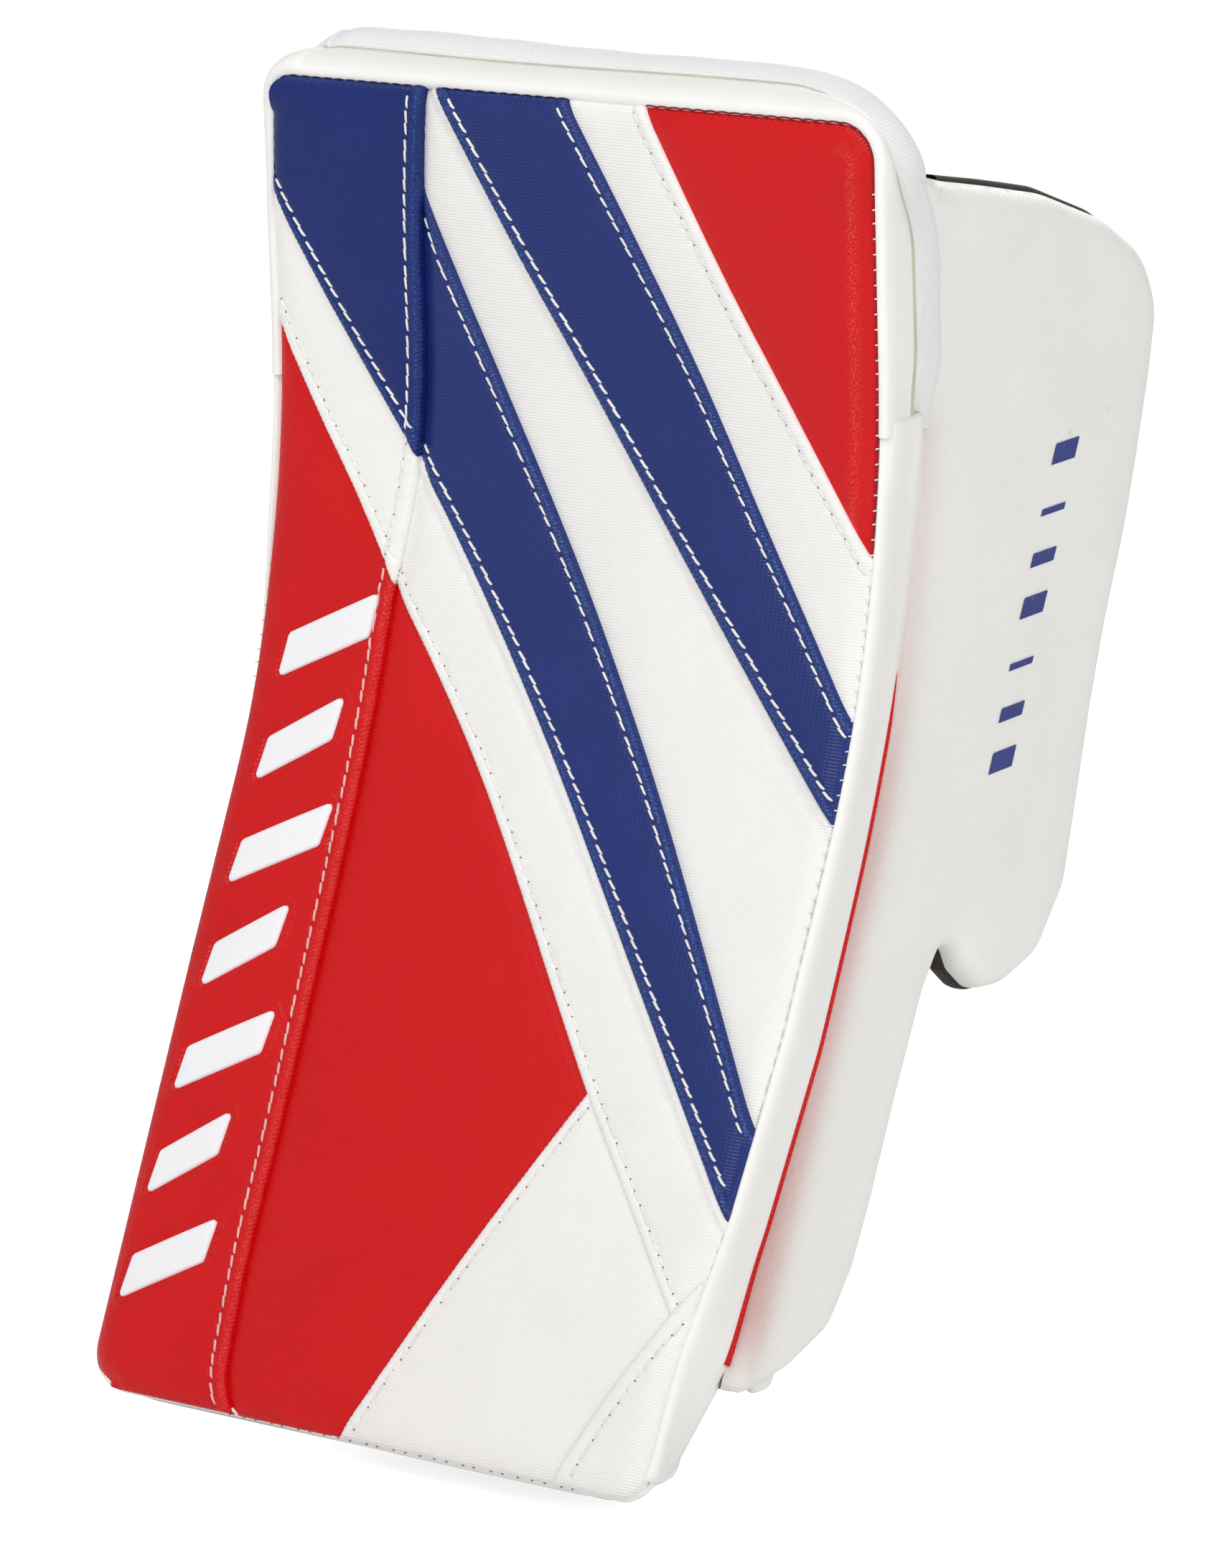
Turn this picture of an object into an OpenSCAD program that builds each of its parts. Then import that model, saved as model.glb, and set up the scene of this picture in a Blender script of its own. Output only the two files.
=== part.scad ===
// Goalie blocker for the right hand: a padded board with a bent top, a deep sidewall on the
// thumb side, and a glove with five stalls and two straps behind the board.
//
// Board coordinates: x across (thumb side is +x), s along the front face from the bottom edge,
// n the depth behind the front face. The lower part of the board is flat, and then the board
// bends forward along an arc. Finally stance() leans everything back and puts the origin at
// the mouth of the glove.

/* [Board] */
// Length of the front face along its surface
face_length = 362; // [330:1:375]
// Overall width of the board
board_width = 203; // [190:1:203]
// Thickness of the board without its edge roll
board_depth = 25; // [22:1:30]
// Height at which the forward bend starts
bend_start = 169; // [150:1:180]
// Height at which the forward bend ends
bend_end = 300; // [290:1:310]
// Angle of the whole forward bend
bend_angle = 25.85; // [15:0.05:30]
// Thickness of each front panel
skin = 1.2; // [0.8:0.1:2]

/* [Sidewall] */
// Thickness of the sidewall with its skins
wall_thick = 14; // [10:1:18]
// How far the sidewall reaches behind the flat part of the board
wall_depth = 115; // [100:1:125]

/* [Glove] */
// Inner width of the glove at the palm
palm_width = 92; // [88:1:96]
// Inner depth of the glove at the palm
palm_depth = 39; // [36:1:42]
// Angle of the finger stalls' upper halves from straight down
finger_angle = 25; // [20:1:28]
// Angle of the finger stalls' tips from straight down
tip_angle = 105; // [95:1:110]

/* [Straps] */
// Width of the wrist strap
wrist_strap_width = 34; // [28:1:36]
// Width of the cuff strap
cuff_strap_width = 40; // [34:1:44]

/* [Stance] */
// Lean of the flat part of the board from upright
lean = 13; // [9:0.5:14]

/* [Hidden] */

$fn = 48;
edge_lip = 2;               // thickness of the binding round the edges
top_roll = 10;              // how far the top edge roll stands above the front face
split_depth = 12;           // depth of the seam between binding and rear edge roll
band_top = 280;             // height at which the top binding ends on both sides
arc_steps = 10;
bend_radius = (bend_end - bend_start) * 180 / PI / bend_angle;
half_w = board_width / 2;
wall_x1 = 98;               // outer face of the sidewall
wall_x0 = wall_x1 - wall_thick;
wall_gap = 2.5;             // clearance between the board's back and the sidewall
palm_x0 = -48;              // inner face of the glove on the little finger side
palm_x1 = palm_x0 + palm_width;
pad_depth = 10;             // thickness of the pad over the back of the hand
palm_wall = 3;
palm_y0 = board_depth + pad_depth;
palm_y1 = palm_y0 + palm_depth;
palm_z0 = 96;
palm_z1 = 176;
mouth = [-2, 55, palm_z1];  // centre of the glove's mouth
stall_wall = 2.5;
knuckle = [52, 88];         // y and z of the finger knuckles
thumb_root = [64, 148];     // y and z of the thumb's root
wrist_s = 203;
cuff_s = 285;

// ---- the board's curved profile -------------------------------------------------------
function bend_at(s) = min(max(s - bend_start, 0), bend_end - bend_start) * 180 / PI / bend_radius;
function face_y(s) = -bend_radius * (1 - cos(bend_at(s))) - max(s - bend_end, 0) * sin(bend_angle);
function face_z(s) = min(s, bend_start) + bend_radius * sin(bend_at(s))
    + max(s - bend_end, 0) * cos(bend_angle);
function at(s, n) = [face_y(s) + n * cos(bend_at(s)), face_z(s) + n * sin(bend_at(s))];
function stations(s0, s1) = concat([s0],
    [for (i = [0:arc_steps]) let (s = bend_start + i * (bend_end - bend_start) / arc_steps)
        if (s > s0 + 0.5 && s < s1 - 0.5) s], [s1]);
function profile(n0, n1, s0, s1) = let (st = stations(s0, s1), k = len(st) - 1) concat(
    [for (s = st) at(s, n0)], [for (i = [k:-1:0]) at(st[i], n1)]);
function flip(list) = [for (i = [len(list) - 1:-1:0]) list[i]];
function arc(cx, cy, r, a0, a1, steps = 8) =
    [for (i = [0:steps]) let (a = a0 + (a1 - a0) * i / steps) [cx + r * cos(a), cy + r * sin(a)]];

module stance() {
    rotate([-lean, 0, 0]) translate(-mouth) children();
}

// a drawing in the y-z plane, made solid from x = x0 to x = x1
module across(x0, x1) {
    translate([x0, 0, 0]) rotate([90, 0, 90]) linear_extrude(x1 - x0) children();
}

// a drawing in the x-z plane, made solid from y = y0 to y = y1
module through(y0, y1) {
    translate([0, y1, 0]) rotate([90, 0, 0]) linear_extrude(y1 - y0) children();
}

// the frame of the board's surface at height s: local z runs along it and local y is depth
module on_surface(s) {
    translate([0, face_y(s), face_z(s)]) rotate([bend_at(s), 0, 0]) children();
}

// ---- board slabs ----------------------------------------------------------------------
// the board's outline below the bend, inset by d, with its lower right side tapered
module low_outline(d, low = 0) {
    polygon(concat(
        arc(-half_w + 2 + 13, 13 + low, 13 - d, 180, 270),
        arc(half_w - 7.5 - 9, 9 + low, 9 - d, 270, 360),
        [[half_w - 7.5 - d, 34], [half_w - 3.5 - d, 75], [half_w - 1 - d, 120],
         [half_w - d, 165], [half_w - d, 250], [-half_w + d, 250], [-half_w + d, 120]]));
}

// the outline of the straight top part, in the frame of the bend's end
module top_outline(d, top) {
    polygon(concat(
        [[-half_w + d, -150], [half_w - d, -150]],
        arc(half_w - 17, top - 17, 17 - d, 0, 90),
        arc(-half_w + 11, top - 11, 11 - d, 90, 180)));
}

module slab(n0, n1, d = 0, top = face_length + edge_lip, low = -edge_lip) {
    intersection() {
        across(-half_w - 5, half_w + 5) polygon(profile(n0, n1, low + d, top - d));
        union() {
            through(-60, 60) intersection() {
                low_outline(d, low);
                translate([-half_w - 5, -10]) square([2 * half_w + 10, face_z(200) + 10]);
            }
            on_surface(bend_end) through(-70, 60) top_outline(d, top - bend_end);
        }
    }
}

module rim(n0, n1, thick, top = face_length + edge_lip) {
    difference() {
        slab(n0, n1, 0, top);
        slab(n0 - 2, n1 + 2, thick, top);
    }
}

// everything on the front face between two heights, used to cut rims into stretches
module between(s0, s1, x0 = -half_w - 8, x1 = half_w + 8) {
    across(x0, x1) polygon(profile(-12, 60, s0, s1));
}

module front_foam() {
    color("whitesmoke") slab(skin, split_depth, edge_lip);
}

module stiffener_plate() {
    color("dimgray") slab(split_depth, split_depth + 1.2, 9);
}

module rear_foam() {
    color("gainsboro") slab(split_depth + 1.2, board_depth - 1, edge_lip + 2);
}

module board_back() {
    color("black") slab(board_depth - 1, board_depth, edge_lip + 2);
}

// ---- front panels ---------------------------------------------------------------------
top_s = face_length;
left_x = -half_w + edge_lip;
right_x = half_w - edge_lip;
low_right_x = 92;
strip_seam = [[-46, top_s], [-48, 335], [-50, 262], [-54.5, 227], [-55, 187], [-54, 155],
    [-52.5, 85], [-51, 0]];
corner_seam = [[left_x, 331], [-72, 290], [-50, 262]];
red_strip_seam = [[left_x, 296], [-84, 270], [-70, 250], [-54.5, 227]];
long_upper = [[-48, 335], [-22.5, 285], [16.5, 222], [60.5, 156], [96.5, 101]];
long_lower = [[-50, 262], [-7, 206], [40, 146], [81, 94], [96, 75]];
short_upper = [[1.7, top_s], [30.5, 315], [69, 250], [88.5, 222], [right_x, 207]];
short_lower = [[-42.5, top_s], [-7.5, 308], [42, 242], [87.5, 192], [right_x, 180]];
red_corner_seam = [[26.5, top_s], [58, 308], [91, 260], [right_x, 249]];
main_seam = [[-54.5, 227], [-12, 176], [32, 117], [44, 101]];
bottom_seam = [[44, 101], [16.5, 51], [-8.5, 0]];
lower_right_seam = [[44, 101], [86.5, 48]];
patch_seam = [[94.5, 60], [86.5, 48], [72, 22], [62.5, 0]];

function on_face(points) = [for (p = points) [p[0], face_z(p[1])]];

module panel(points, n0 = 0, n1 = skin) {
    intersection() {
        slab(n0, n1, edge_lip);
        through(-90, 30) polygon(on_face(points));
    }
}

module skin_blue_corner() {
    color("mediumblue") panel(concat([[-110, 380]], [[-46, 380]],
        [for (i = [0:2]) strip_seam[i]], flip(corner_seam), [[-110, 331]]));
}

module skin_white_strip() {
    color("white") panel(concat([[-110, 331]], corner_seam, [strip_seam[3]],
        flip(red_strip_seam), [[-110, 296]]));
}

module skin_red_strip() {
    color("red") panel(concat([[-110, 296]], red_strip_seam,
        [for (i = [4:7]) strip_seam[i]], [[-51, -9]], [[-110, -9]]));
}

module skin_white_centre() {
    color("white") panel(concat([[-46, 380], [-42.5, 380]], short_lower, [[110, 180], [110, 101]],
        flip(long_upper), [strip_seam[0]]));
}

module stripe_long() {
    color("mediumblue") panel(concat(long_upper, [[110, 101], [110, 75]], flip(long_lower)),
        -0.8, skin);
}

module stripe_short() {
    color("mediumblue") panel(concat([[1.7, 380]], short_upper, [[110, 207], [110, 180]],
        flip(short_lower), [[-42.5, 380]]), -0.8, skin);
}

module skin_white_upper() {
    color("white") panel(concat([[26.5, 380]], red_corner_seam, [[110, 249], [110, 207]],
        flip(short_upper), [[1.7, 380]]));
}

module skin_red_corner() {
    color("red") panel(concat([[110, 380], [110, 249]], flip(red_corner_seam), [[26.5, 380]]));
}

module skin_white_lower() {
    color("white") panel(concat(long_lower, [[110, 75], [110, 60], [94.5, 60]],
        flip(lower_right_seam), flip(main_seam)));
}

module skin_red_main() {
    color("red") panel(concat(main_seam, bottom_seam, [[-8.5, -9], [-51, -9]],
        flip([for (i = [3:7]) strip_seam[i]])));
}

module skin_white_bottom() {
    color("white") panel(concat(lower_right_seam, [[72, 22], [62.5, 0], [62.5, -9], [-8.5, -9]],
        flip(bottom_seam)));
}

module skin_corner_patch() {
    color("white") panel(concat(patch_seam, [[62.5, -9], [110, -9], [110, 60]]));
}

// slanted raised bars up the strip, in alternating lengths
bar_count = 7;
bar_pitch = 29;
module strip_bars() {
    color("white") for (i = [0:bar_count - 1]) {
        s = 24 + i * bar_pitch;
        x0 = -91 + i * 0.4;
        x1 = -66 - (i % 2) * 5 + i * 0.9;
        panel([[x0, s], [x1, s + 14], [x1 + 1.5, s + 29], [x0 + 1.5, s + 15]], -1, -0.05);
    }
}

// ---- bindings and edges ---------------------------------------------------------------
module binding_top() {
    color("white") intersection() {
        rim(-0.8, split_depth, edge_lip, face_length + 4);
        between(band_top, 400);
    }
}

module mesh_edge() {
    color("whitesmoke") intersection() {
        difference() {
            slab(split_depth, board_depth + 1, 0, face_length + top_roll);
            slab(split_depth - 1, board_depth + 0.2, edge_lip + 2);
            slab(split_depth, board_depth + 5, 9);
        }
        between(band_top, 400);
    }
}

module wrap_right() {
    color("white") intersection() {
        rim(-0.8, 20, edge_lip);
        between(-10, band_top, 70);
    }
}

module binding_low() {
    color("white") intersection() {
        rim(-0.8, 4, edge_lip);
        between(-10, band_top, -half_w - 8, 70);
    }
}

module edge_band_low() {
    color("whitesmoke") intersection() {
        rim(4, board_depth, edge_lip);
        between(-10, band_top, -half_w - 8, 70);
    }
}

module red_piping() {
    color("red") intersection() {
        rim(20, board_depth, edge_lip);
        between(-10, band_top, 70);
    }
}

module hinge_strip() {
    color("black") across(64, wall_x0 - 1.5) polygon(profile(board_depth, board_depth + 1.2, 38, 338));
}

// ---- sidewall -------------------------------------------------------------------------
// the wall's free outline from the top of the board down to the narrow lower end, with a
// notch where the stick leaves the hand
wall_outline = [[-10, 354], [8, 358], [34, 361], [60, 361], [78, 358], [90, 346], [98, 328],
    [102, 310], [104, 290], [105.5, 262], [108, 240], [112, 215], [115, 195], [114, 180],
    [110, 171], [104, 165], [98, 161], [91, 158], [84, 157.5], [78, 159.5], [72, 163],
    [66, 162.5], [62, 156], [60, 145], [60, 120], [60, 95], [59, 80], [56, 60], [47, 52],
    [32, 42], [board_depth + wall_gap, 38]];
wall_scale = wall_depth / 115;

module wall_shape() {
    polygon(concat([for (p = wall_outline) [p[0] * wall_scale, p[1]]],
        [for (s = stations(40, 345)) at(s, board_depth + wall_gap)]));
}

module sidewall_foam() {
    color("gainsboro") across(wall_x0 + 1.2, wall_x1 - 1.2) wall_shape();
}

module sidewall_skin() {
    color("white") across(wall_x1 - 1.2, wall_x1) wall_shape();
}

module sidewall_lining() {
    color("black") across(wall_x0, wall_x0 + 1.2) wall_shape();
}

// slanted flat bars in one row up the outside of the wall
module sidewall_bars() {
    color("mediumblue") for (i = [0:6]) {
        z = 210 + i * 14;
        y = 70 - i * 0.9;
        across(wall_x1 + 0.02, wall_x1 + 0.5)
            polygon([[y - 5, z], [y + 5, z + 5], [y + 5, z + 11 - (i % 3) * 2],
                [y - 5, z + 6 - (i % 3) * 2]]);
    }
}

module sidewall_tab() {
    color("white") across(wall_x0 - 4.5, wall_x0 - 0.02)
        polygon([[29, 58], [27.5, 34], [36, 32.5], [43, 38], [45, 58]]);
}

// ---- glove ----------------------------------------------------------------------------
module hand_pad() {
    color("dimgray") across(palm_x0 - 5, palm_x1 + 4)
        polygon(profile(board_depth, board_depth + pad_depth, 62, 182));
}

module cuff_pad() {
    color("dimgray") across(-50, 50) polygon(profile(board_depth, board_depth + 12, 226, 348));
}

module round_rect(x0, y0, x1, y1, r) {
    polygon(concat(arc(x1 - r, y1 - r, r, 0, 90), arc(x0 + r, y1 - r, r, 90, 180),
        [[x0, y0], [x1, y0]]));
}

// the leather round the hand: closed over the palm, open to the pad on the back of the hand
module palm_panel() {
    color("ivory") difference() {
        translate([0, 0, palm_z0]) linear_extrude(palm_z1 - palm_z0) difference() {
            round_rect(palm_x0 - palm_wall, palm_y0, palm_x1 + palm_wall, palm_y1 + palm_wall, 14);
            round_rect(palm_x0, palm_y0 - 1, palm_x1, palm_y1, 11);
        }
        translate([palm_x1 - 4, palm_y0 + 17, 112]) cube([20, 23, 53.2]);
        for (i = [0:3]) translate([palm_x0 - 5, palm_y0 + 8, 112 + i * 16])
            rotate([0, 90, 0]) cylinder(r = 2.2, h = 6);
    }
}

module palm_patch() {
    color("gray") translate([palm_x0 + 16, palm_y1 + palm_wall, palm_z0 + 4]) cube([54, 1.2, 62]);
}

// the short sleeve that carries the thumb stall beside the palm
module thumb_gusset() {
    color("ivory") translate([palm_x1 + palm_wall, 48, 156.2]) difference() {
        cube([24, 31, 12]);
        translate([-1, 4, -1]) cube([21, 23, 10]);
    }
}

module lace_flange() {
    color("ivory") difference() {
        translate([-74, board_depth, palm_z0]) cube([20.5, 2, 80]);
        for (i = [0:4]) translate([-66, board_depth - 1, 104 + i * 16])
            rotate([-90, 0, 0]) cylinder(r = 2.2, h = 4);
    }
}

module eyelets() {
    color("silver") for (i = [0:4]) translate([-66, board_depth + 2, 104 + i * 16])
        rotate([-90, 0, 0]) difference() {
            cylinder(r = 4, h = 0.8);
            translate([0, 0, -1]) cylinder(r = 2.2, h = 3);
        }
}

// the lace zigzags between the flange's eyelets and the holes in the side of the palm
lace_r = 1.5;
lace_path = [for (i = [0:4]) each concat(
    [[-66, 26.6, 104 + i * 16], [-65, 30.6, 105 + i * 16]],
    i < 4 ? [[-55, 42, 111 + i * 16], [-50.5, 43.2, 112 + i * 16], [-55, 42, 113 + i * 16],
        [-65, 30.6, 119 + i * 16]] : [])];

function unit(v) = v / norm(v);
function tangent(p, i) = unit(p[min(i + 1, len(p) - 1)] - p[max(i - 1, 0)]);

module tube(p, r, sides = 8) {
    up = [0.31, 0.2, 0.93];
    rings = [for (i = [0:len(p) - 1]) let (t = tangent(p, i), u = unit(cross(t, up)), v = cross(t, u))
        for (k = [0:sides - 1]) p[i] + r * (u * cos(360 * k / sides) + v * sin(360 * k / sides))];
    sides_faces = [for (i = [0:len(p) - 2]) for (k = [0:sides - 1])
        let (a = i * sides + k, b = i * sides + (k + 1) % sides) [a, b, b + sides, a + sides]];
    last = (len(p) - 1) * sides;
    polyhedron(rings, concat(sides_faces, [[for (k = [sides - 1:-1:0]) k]],
        [[for (k = [0:sides - 1]) last + k]]));
}

module palm_lace() {
    color("white") tube(lace_path, lace_r);
}

// ---- stalls ---------------------------------------------------------------------------
// a bent tube, seen from the side: two straight stretches, a round elbow and a round tip.
// Angles are measured from straight down, turning towards +y.
function along(a) = [sin(a), -cos(a)];
function outward(a) = [cos(a), sin(a)];
function knee(root, a, l) = root + l * along(a);

module bent(root, a1, l1, a2, l2, r, back = 0) {
    elbow = knee(root, a1, l1);
    tip = knee(elbow, a2, l2);
    crease = r / cos((a2 - a1) / 2);
    polygon(concat(
        [root - r * outward(a1) - back * along(a1)],
        [for (i = [0:6]) elbow - r * outward(a1 + (a2 - a1) * i / 6)],
        [for (i = [0:10]) tip - r * outward(a2 + 18 * i)],
        [elbow + crease * outward((a1 + a2) / 2),
         root + r * outward(a1) - back * along(a1)]));
}

module stall(x, w, r, root, a1, l1, a2, l2) {
    difference() {
        across(x - w / 2, x + w / 2) bent(root, a1, l1, a2, l2, r);
        across(x - w / 2 + stall_wall, x + w / 2 - stall_wall)
            bent(root, a1, l1, a2, l2, r - stall_wall, 6);
    }
}

// a thin grip patch on the palm side of a stall's lower half
module grip(x, w, r, root, a1, l1, a2, l2) {
    elbow = knee(root, a1, l1);
    across(x - w / 2 + 3, x + w / 2 - 3) translate(elbow) rotate(a2)
        translate([r + 0.02, -l2]) square([1, l2 - r - 3]);
}

index_size = [33.5, 23, 12.5, 38, 28];
middle_size = [9.5, 23, 12.5, 41, 30];
ring_size = [-14.5, 22, 12, 39, 28];
little_size = [-37.5, 21, 11.5, 33, 24];
module finger_stall(f) {
    color("ivory") stall(f[0], f[1], f[2], knuckle, finger_angle, f[3], tip_angle, f[4]);
}
module finger_grip(f) {
    color("gray") grip(f[0], f[1], f[2], knuckle, finger_angle, f[3], tip_angle, f[4]);
}
module index_stall() { finger_stall(index_size); }
module middle_stall() { finger_stall(middle_size); }
module ring_stall() { finger_stall(ring_size); }
module little_stall() { finger_stall(little_size); }
module index_grip() { finger_grip(index_size); }
module middle_grip() { finger_grip(middle_size); }
module ring_grip() { finger_grip(ring_size); }
module little_grip() { finger_grip(little_size); }

thumb_size = [60, 22, 12, 30, 20];
module thumb_stall() {
    color("ivory") stall(thumb_size[0], thumb_size[1], thumb_size[2], thumb_root, 12,
        thumb_size[3], 38, thumb_size[4]);
}

// ---- straps ---------------------------------------------------------------------------
// each strap starts at a ring beside the thumb, crosses over the arm and lands on a tab on
// the other side; these modules draw in the frame of the board's surface
anchor_x = 59;
ring_x = 52;
strap_end_x = -60.5;
bar_r = 1.8;
strap_thick = 1.8;
function ring_n(arm) = arm + 5;

module strap_anchor(width, arm) {
    through(board_depth, board_depth + 2) translate([50.5, -width / 2]) square([6.5, width]);
    translate([0, 0, -width / 2]) linear_extrude(width) difference() {
        union() {
            translate([anchor_x - 4, board_depth]) square([2, arm - 4 - board_depth]);
            translate([anchor_x, arm - 4]) circle(4);
        }
        translate([anchor_x, arm - 4]) circle(bar_r + 0.25);
    }
}

module strap_ring(width, arm) {
    reach = norm([anchor_x - ring_x, 9]);
    for (p = [[anchor_x, arm - 4], [ring_x, arm + 5]]) translate([p[0], p[1], -width / 2 - 4])
        cylinder(r = bar_r, h = width + 8);
    for (z = [-width / 2 - 4, width / 2 + 2]) translate([anchor_x, arm - 4, z])
        rotate(atan2(9, ring_x - anchor_x)) translate([0, -bar_r, 0])
            cube([reach, 2 * bar_r, 2]);
}

module strap_tab(width, arm) {
    through(board_depth, board_depth + 2) translate([-58, -width / 2]) square([5, width]);
    translate([-58, board_depth + 1, -width / 2]) cube([2, arm - board_depth - 10, width]);
}

module loop_patch(width, arm) {
    translate([-59, board_depth + 8, -width / 2 + 2]) cube([0.98, arm - board_depth - 20, width - 4]);
}

module hook_patch(width, arm) {
    translate([-60.5, board_depth + 14, -width / 2 + 3]) cube([1, arm - board_depth - 27, width - 6]);
}

// the moving strap: a folded loop round the ring's outer bar, a flat run and a turned-down end
module strap(width, arm) {
    top_n = ring_n(arm) + 4;
    translate([0, 0, -width / 2]) linear_extrude(width) {
        translate([ring_x, ring_n(arm)]) difference() {
            circle(4);
            circle(2.2);
        }
        translate([strap_end_x + 14, top_n - strap_thick])
            square([ring_x - strap_end_x - 14, strap_thick]);
        difference() {
            intersection() {
                translate([strap_end_x + 14, top_n - 14]) difference() {
                    circle(14 + 1.82);
                    circle(14 - 0.02);
                }
                translate([strap_end_x - 3, top_n - 14]) square([17, 17]);
            }
            translate([strap_end_x - 5, top_n]) square([30, 5]);
        }
        translate([strap_end_x - strap_thick, board_depth + 10])
            square([strap_thick, top_n - 14 - board_depth - 10]);
    }
}

wrist_arm = 72;
cuff_arm = 92;
module wrist_anchor() { color("black") on_surface(wrist_s) strap_anchor(wrist_strap_width, wrist_arm); }
module wrist_ring() { color("dimgray") on_surface(wrist_s) strap_ring(wrist_strap_width, wrist_arm); }
module wrist_tab() { color("black") on_surface(wrist_s) strap_tab(wrist_strap_width, wrist_arm); }
module wrist_loop_patch() { color("gray") on_surface(wrist_s) loop_patch(wrist_strap_width, wrist_arm); }
module wrist_strap() { color("white") on_surface(wrist_s) strap(wrist_strap_width, wrist_arm); }
module wrist_hook_patch() { color("gray") on_surface(wrist_s) hook_patch(wrist_strap_width, wrist_arm); }
module cuff_anchor() { color("black") on_surface(cuff_s) strap_anchor(cuff_strap_width, cuff_arm); }
module cuff_ring() { color("dimgray") on_surface(cuff_s) strap_ring(cuff_strap_width, cuff_arm); }
module cuff_tab() { color("black") on_surface(cuff_s) strap_tab(cuff_strap_width, cuff_arm); }
module cuff_loop_patch() { color("gray") on_surface(cuff_s) loop_patch(cuff_strap_width, cuff_arm); }
module cuff_strap() { color("white") on_surface(cuff_s) strap(cuff_strap_width, cuff_arm); }
module cuff_hook_patch() { color("gray") on_surface(cuff_s) hook_patch(cuff_strap_width, cuff_arm); }

stance() front_foam();
stance() stiffener_plate();
stance() rear_foam();
stance() board_back();
stance() skin_blue_corner();
stance() skin_white_strip();
stance() skin_red_strip();
stance() strip_bars();
stance() skin_white_centre();
stance() stripe_long();
stance() stripe_short();
stance() skin_white_upper();
stance() skin_red_corner();
stance() skin_white_lower();
stance() skin_red_main();
stance() skin_white_bottom();
stance() skin_corner_patch();
stance() binding_top();
stance() mesh_edge();
stance() wrap_right();
stance() binding_low();
stance() edge_band_low();
stance() red_piping();
stance() hinge_strip();
stance() hand_pad();
stance() cuff_pad();
stance() palm_panel();
stance() palm_patch();
stance() thumb_gusset();
stance() lace_flange();
stance() eyelets();
stance() palm_lace();
stance() wrist_anchor();
stance() wrist_ring();
stance() wrist_tab();
stance() wrist_loop_patch();
stance() cuff_anchor();
stance() cuff_ring();
stance() cuff_tab();
stance() cuff_loop_patch();
stance() sidewall_foam();
stance() sidewall_skin();
stance() sidewall_lining();
stance() sidewall_bars();
stance() sidewall_tab();
stance() index_stall();
stance() middle_stall();
stance() ring_stall();
stance() little_stall();
stance() thumb_stall();
stance() index_grip();
stance() middle_grip();
stance() ring_grip();
stance() little_grip();
stance() wrist_strap();
stance() wrist_hook_patch();
stance() cuff_strap();
stance() cuff_hook_patch();
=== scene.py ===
"""Looks of the goalie blocker: a laced leather glove behind a padded, bent board with a sidewall."""

import math
from collections import Counter

import bmesh
import bpy
import numpy as np
from mathutils import Matrix, Vector
from mathutils.geometry import delaunay_2d_cdt
from mathutils.kdtree import KDTree

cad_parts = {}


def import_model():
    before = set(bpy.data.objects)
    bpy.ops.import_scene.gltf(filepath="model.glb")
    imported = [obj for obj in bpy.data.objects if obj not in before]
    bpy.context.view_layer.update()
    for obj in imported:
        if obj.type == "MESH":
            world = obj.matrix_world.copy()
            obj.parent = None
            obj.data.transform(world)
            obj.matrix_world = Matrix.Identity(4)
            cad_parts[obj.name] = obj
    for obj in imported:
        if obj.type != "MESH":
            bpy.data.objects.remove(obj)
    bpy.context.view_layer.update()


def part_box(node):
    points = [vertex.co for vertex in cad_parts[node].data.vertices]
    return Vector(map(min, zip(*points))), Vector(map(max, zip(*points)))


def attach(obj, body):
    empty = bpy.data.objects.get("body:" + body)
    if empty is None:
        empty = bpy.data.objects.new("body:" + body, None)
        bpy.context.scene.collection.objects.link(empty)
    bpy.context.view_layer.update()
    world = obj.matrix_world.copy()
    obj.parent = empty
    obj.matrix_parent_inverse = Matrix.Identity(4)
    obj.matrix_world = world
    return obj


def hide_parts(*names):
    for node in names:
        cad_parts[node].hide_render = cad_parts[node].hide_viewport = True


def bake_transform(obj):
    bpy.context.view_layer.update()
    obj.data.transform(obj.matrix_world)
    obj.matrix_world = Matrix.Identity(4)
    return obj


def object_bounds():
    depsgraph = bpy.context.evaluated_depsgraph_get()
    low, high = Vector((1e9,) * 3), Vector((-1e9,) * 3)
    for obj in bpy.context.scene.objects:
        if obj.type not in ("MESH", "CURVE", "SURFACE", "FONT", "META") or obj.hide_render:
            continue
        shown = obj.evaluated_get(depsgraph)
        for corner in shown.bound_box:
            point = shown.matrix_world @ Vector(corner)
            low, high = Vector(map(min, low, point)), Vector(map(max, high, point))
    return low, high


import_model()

# ---- the board's own coordinates: x across, s up the front face, n depth, in millimetres ----
MM = 0.001
LEAN = math.radians(13)             # of the row frame from upright
FACE = 362.0                        # the face's length up its bend
DEPTH = 25.0                        # from the face to the flat back
BEND_LOW, BEND_HIGH = 169.0, 300.0  # where the bend starts and ends
BEND = math.radians(25.85)
RADIUS = (BEND_HIGH - BEND_LOW) / BEND
WALL_X = 98.0                       # the sidewall's outer face


def find_mouth():
    """The glove mouth's place in upright millimetres, from two boxes of the frame.

    The lowest edge band gives its y and z by the roll of radius 2 at the band's lower front and rear, and
    the sidewall's outer face gives its x.
    """
    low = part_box("edge_band_low")[0]
    u = low.y / MM + 2 * math.sin(LEAN)
    w = low.z / MM + 2 * math.cos(LEAN)
    c, s = math.cos(LEAN), math.sin(LEAN)
    # u = (4 - my) c - mz s and w = -(25 - my) s - mz c
    right = np.array([u - 4 * c, w + DEPTH * s])
    my, mz = np.linalg.solve(np.array([[-c, -s], [s, -c]]), right)
    return np.array([WALL_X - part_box("sidewall_skin")[1].x / MM, my, mz])


MOUTH = find_mouth()


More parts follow.
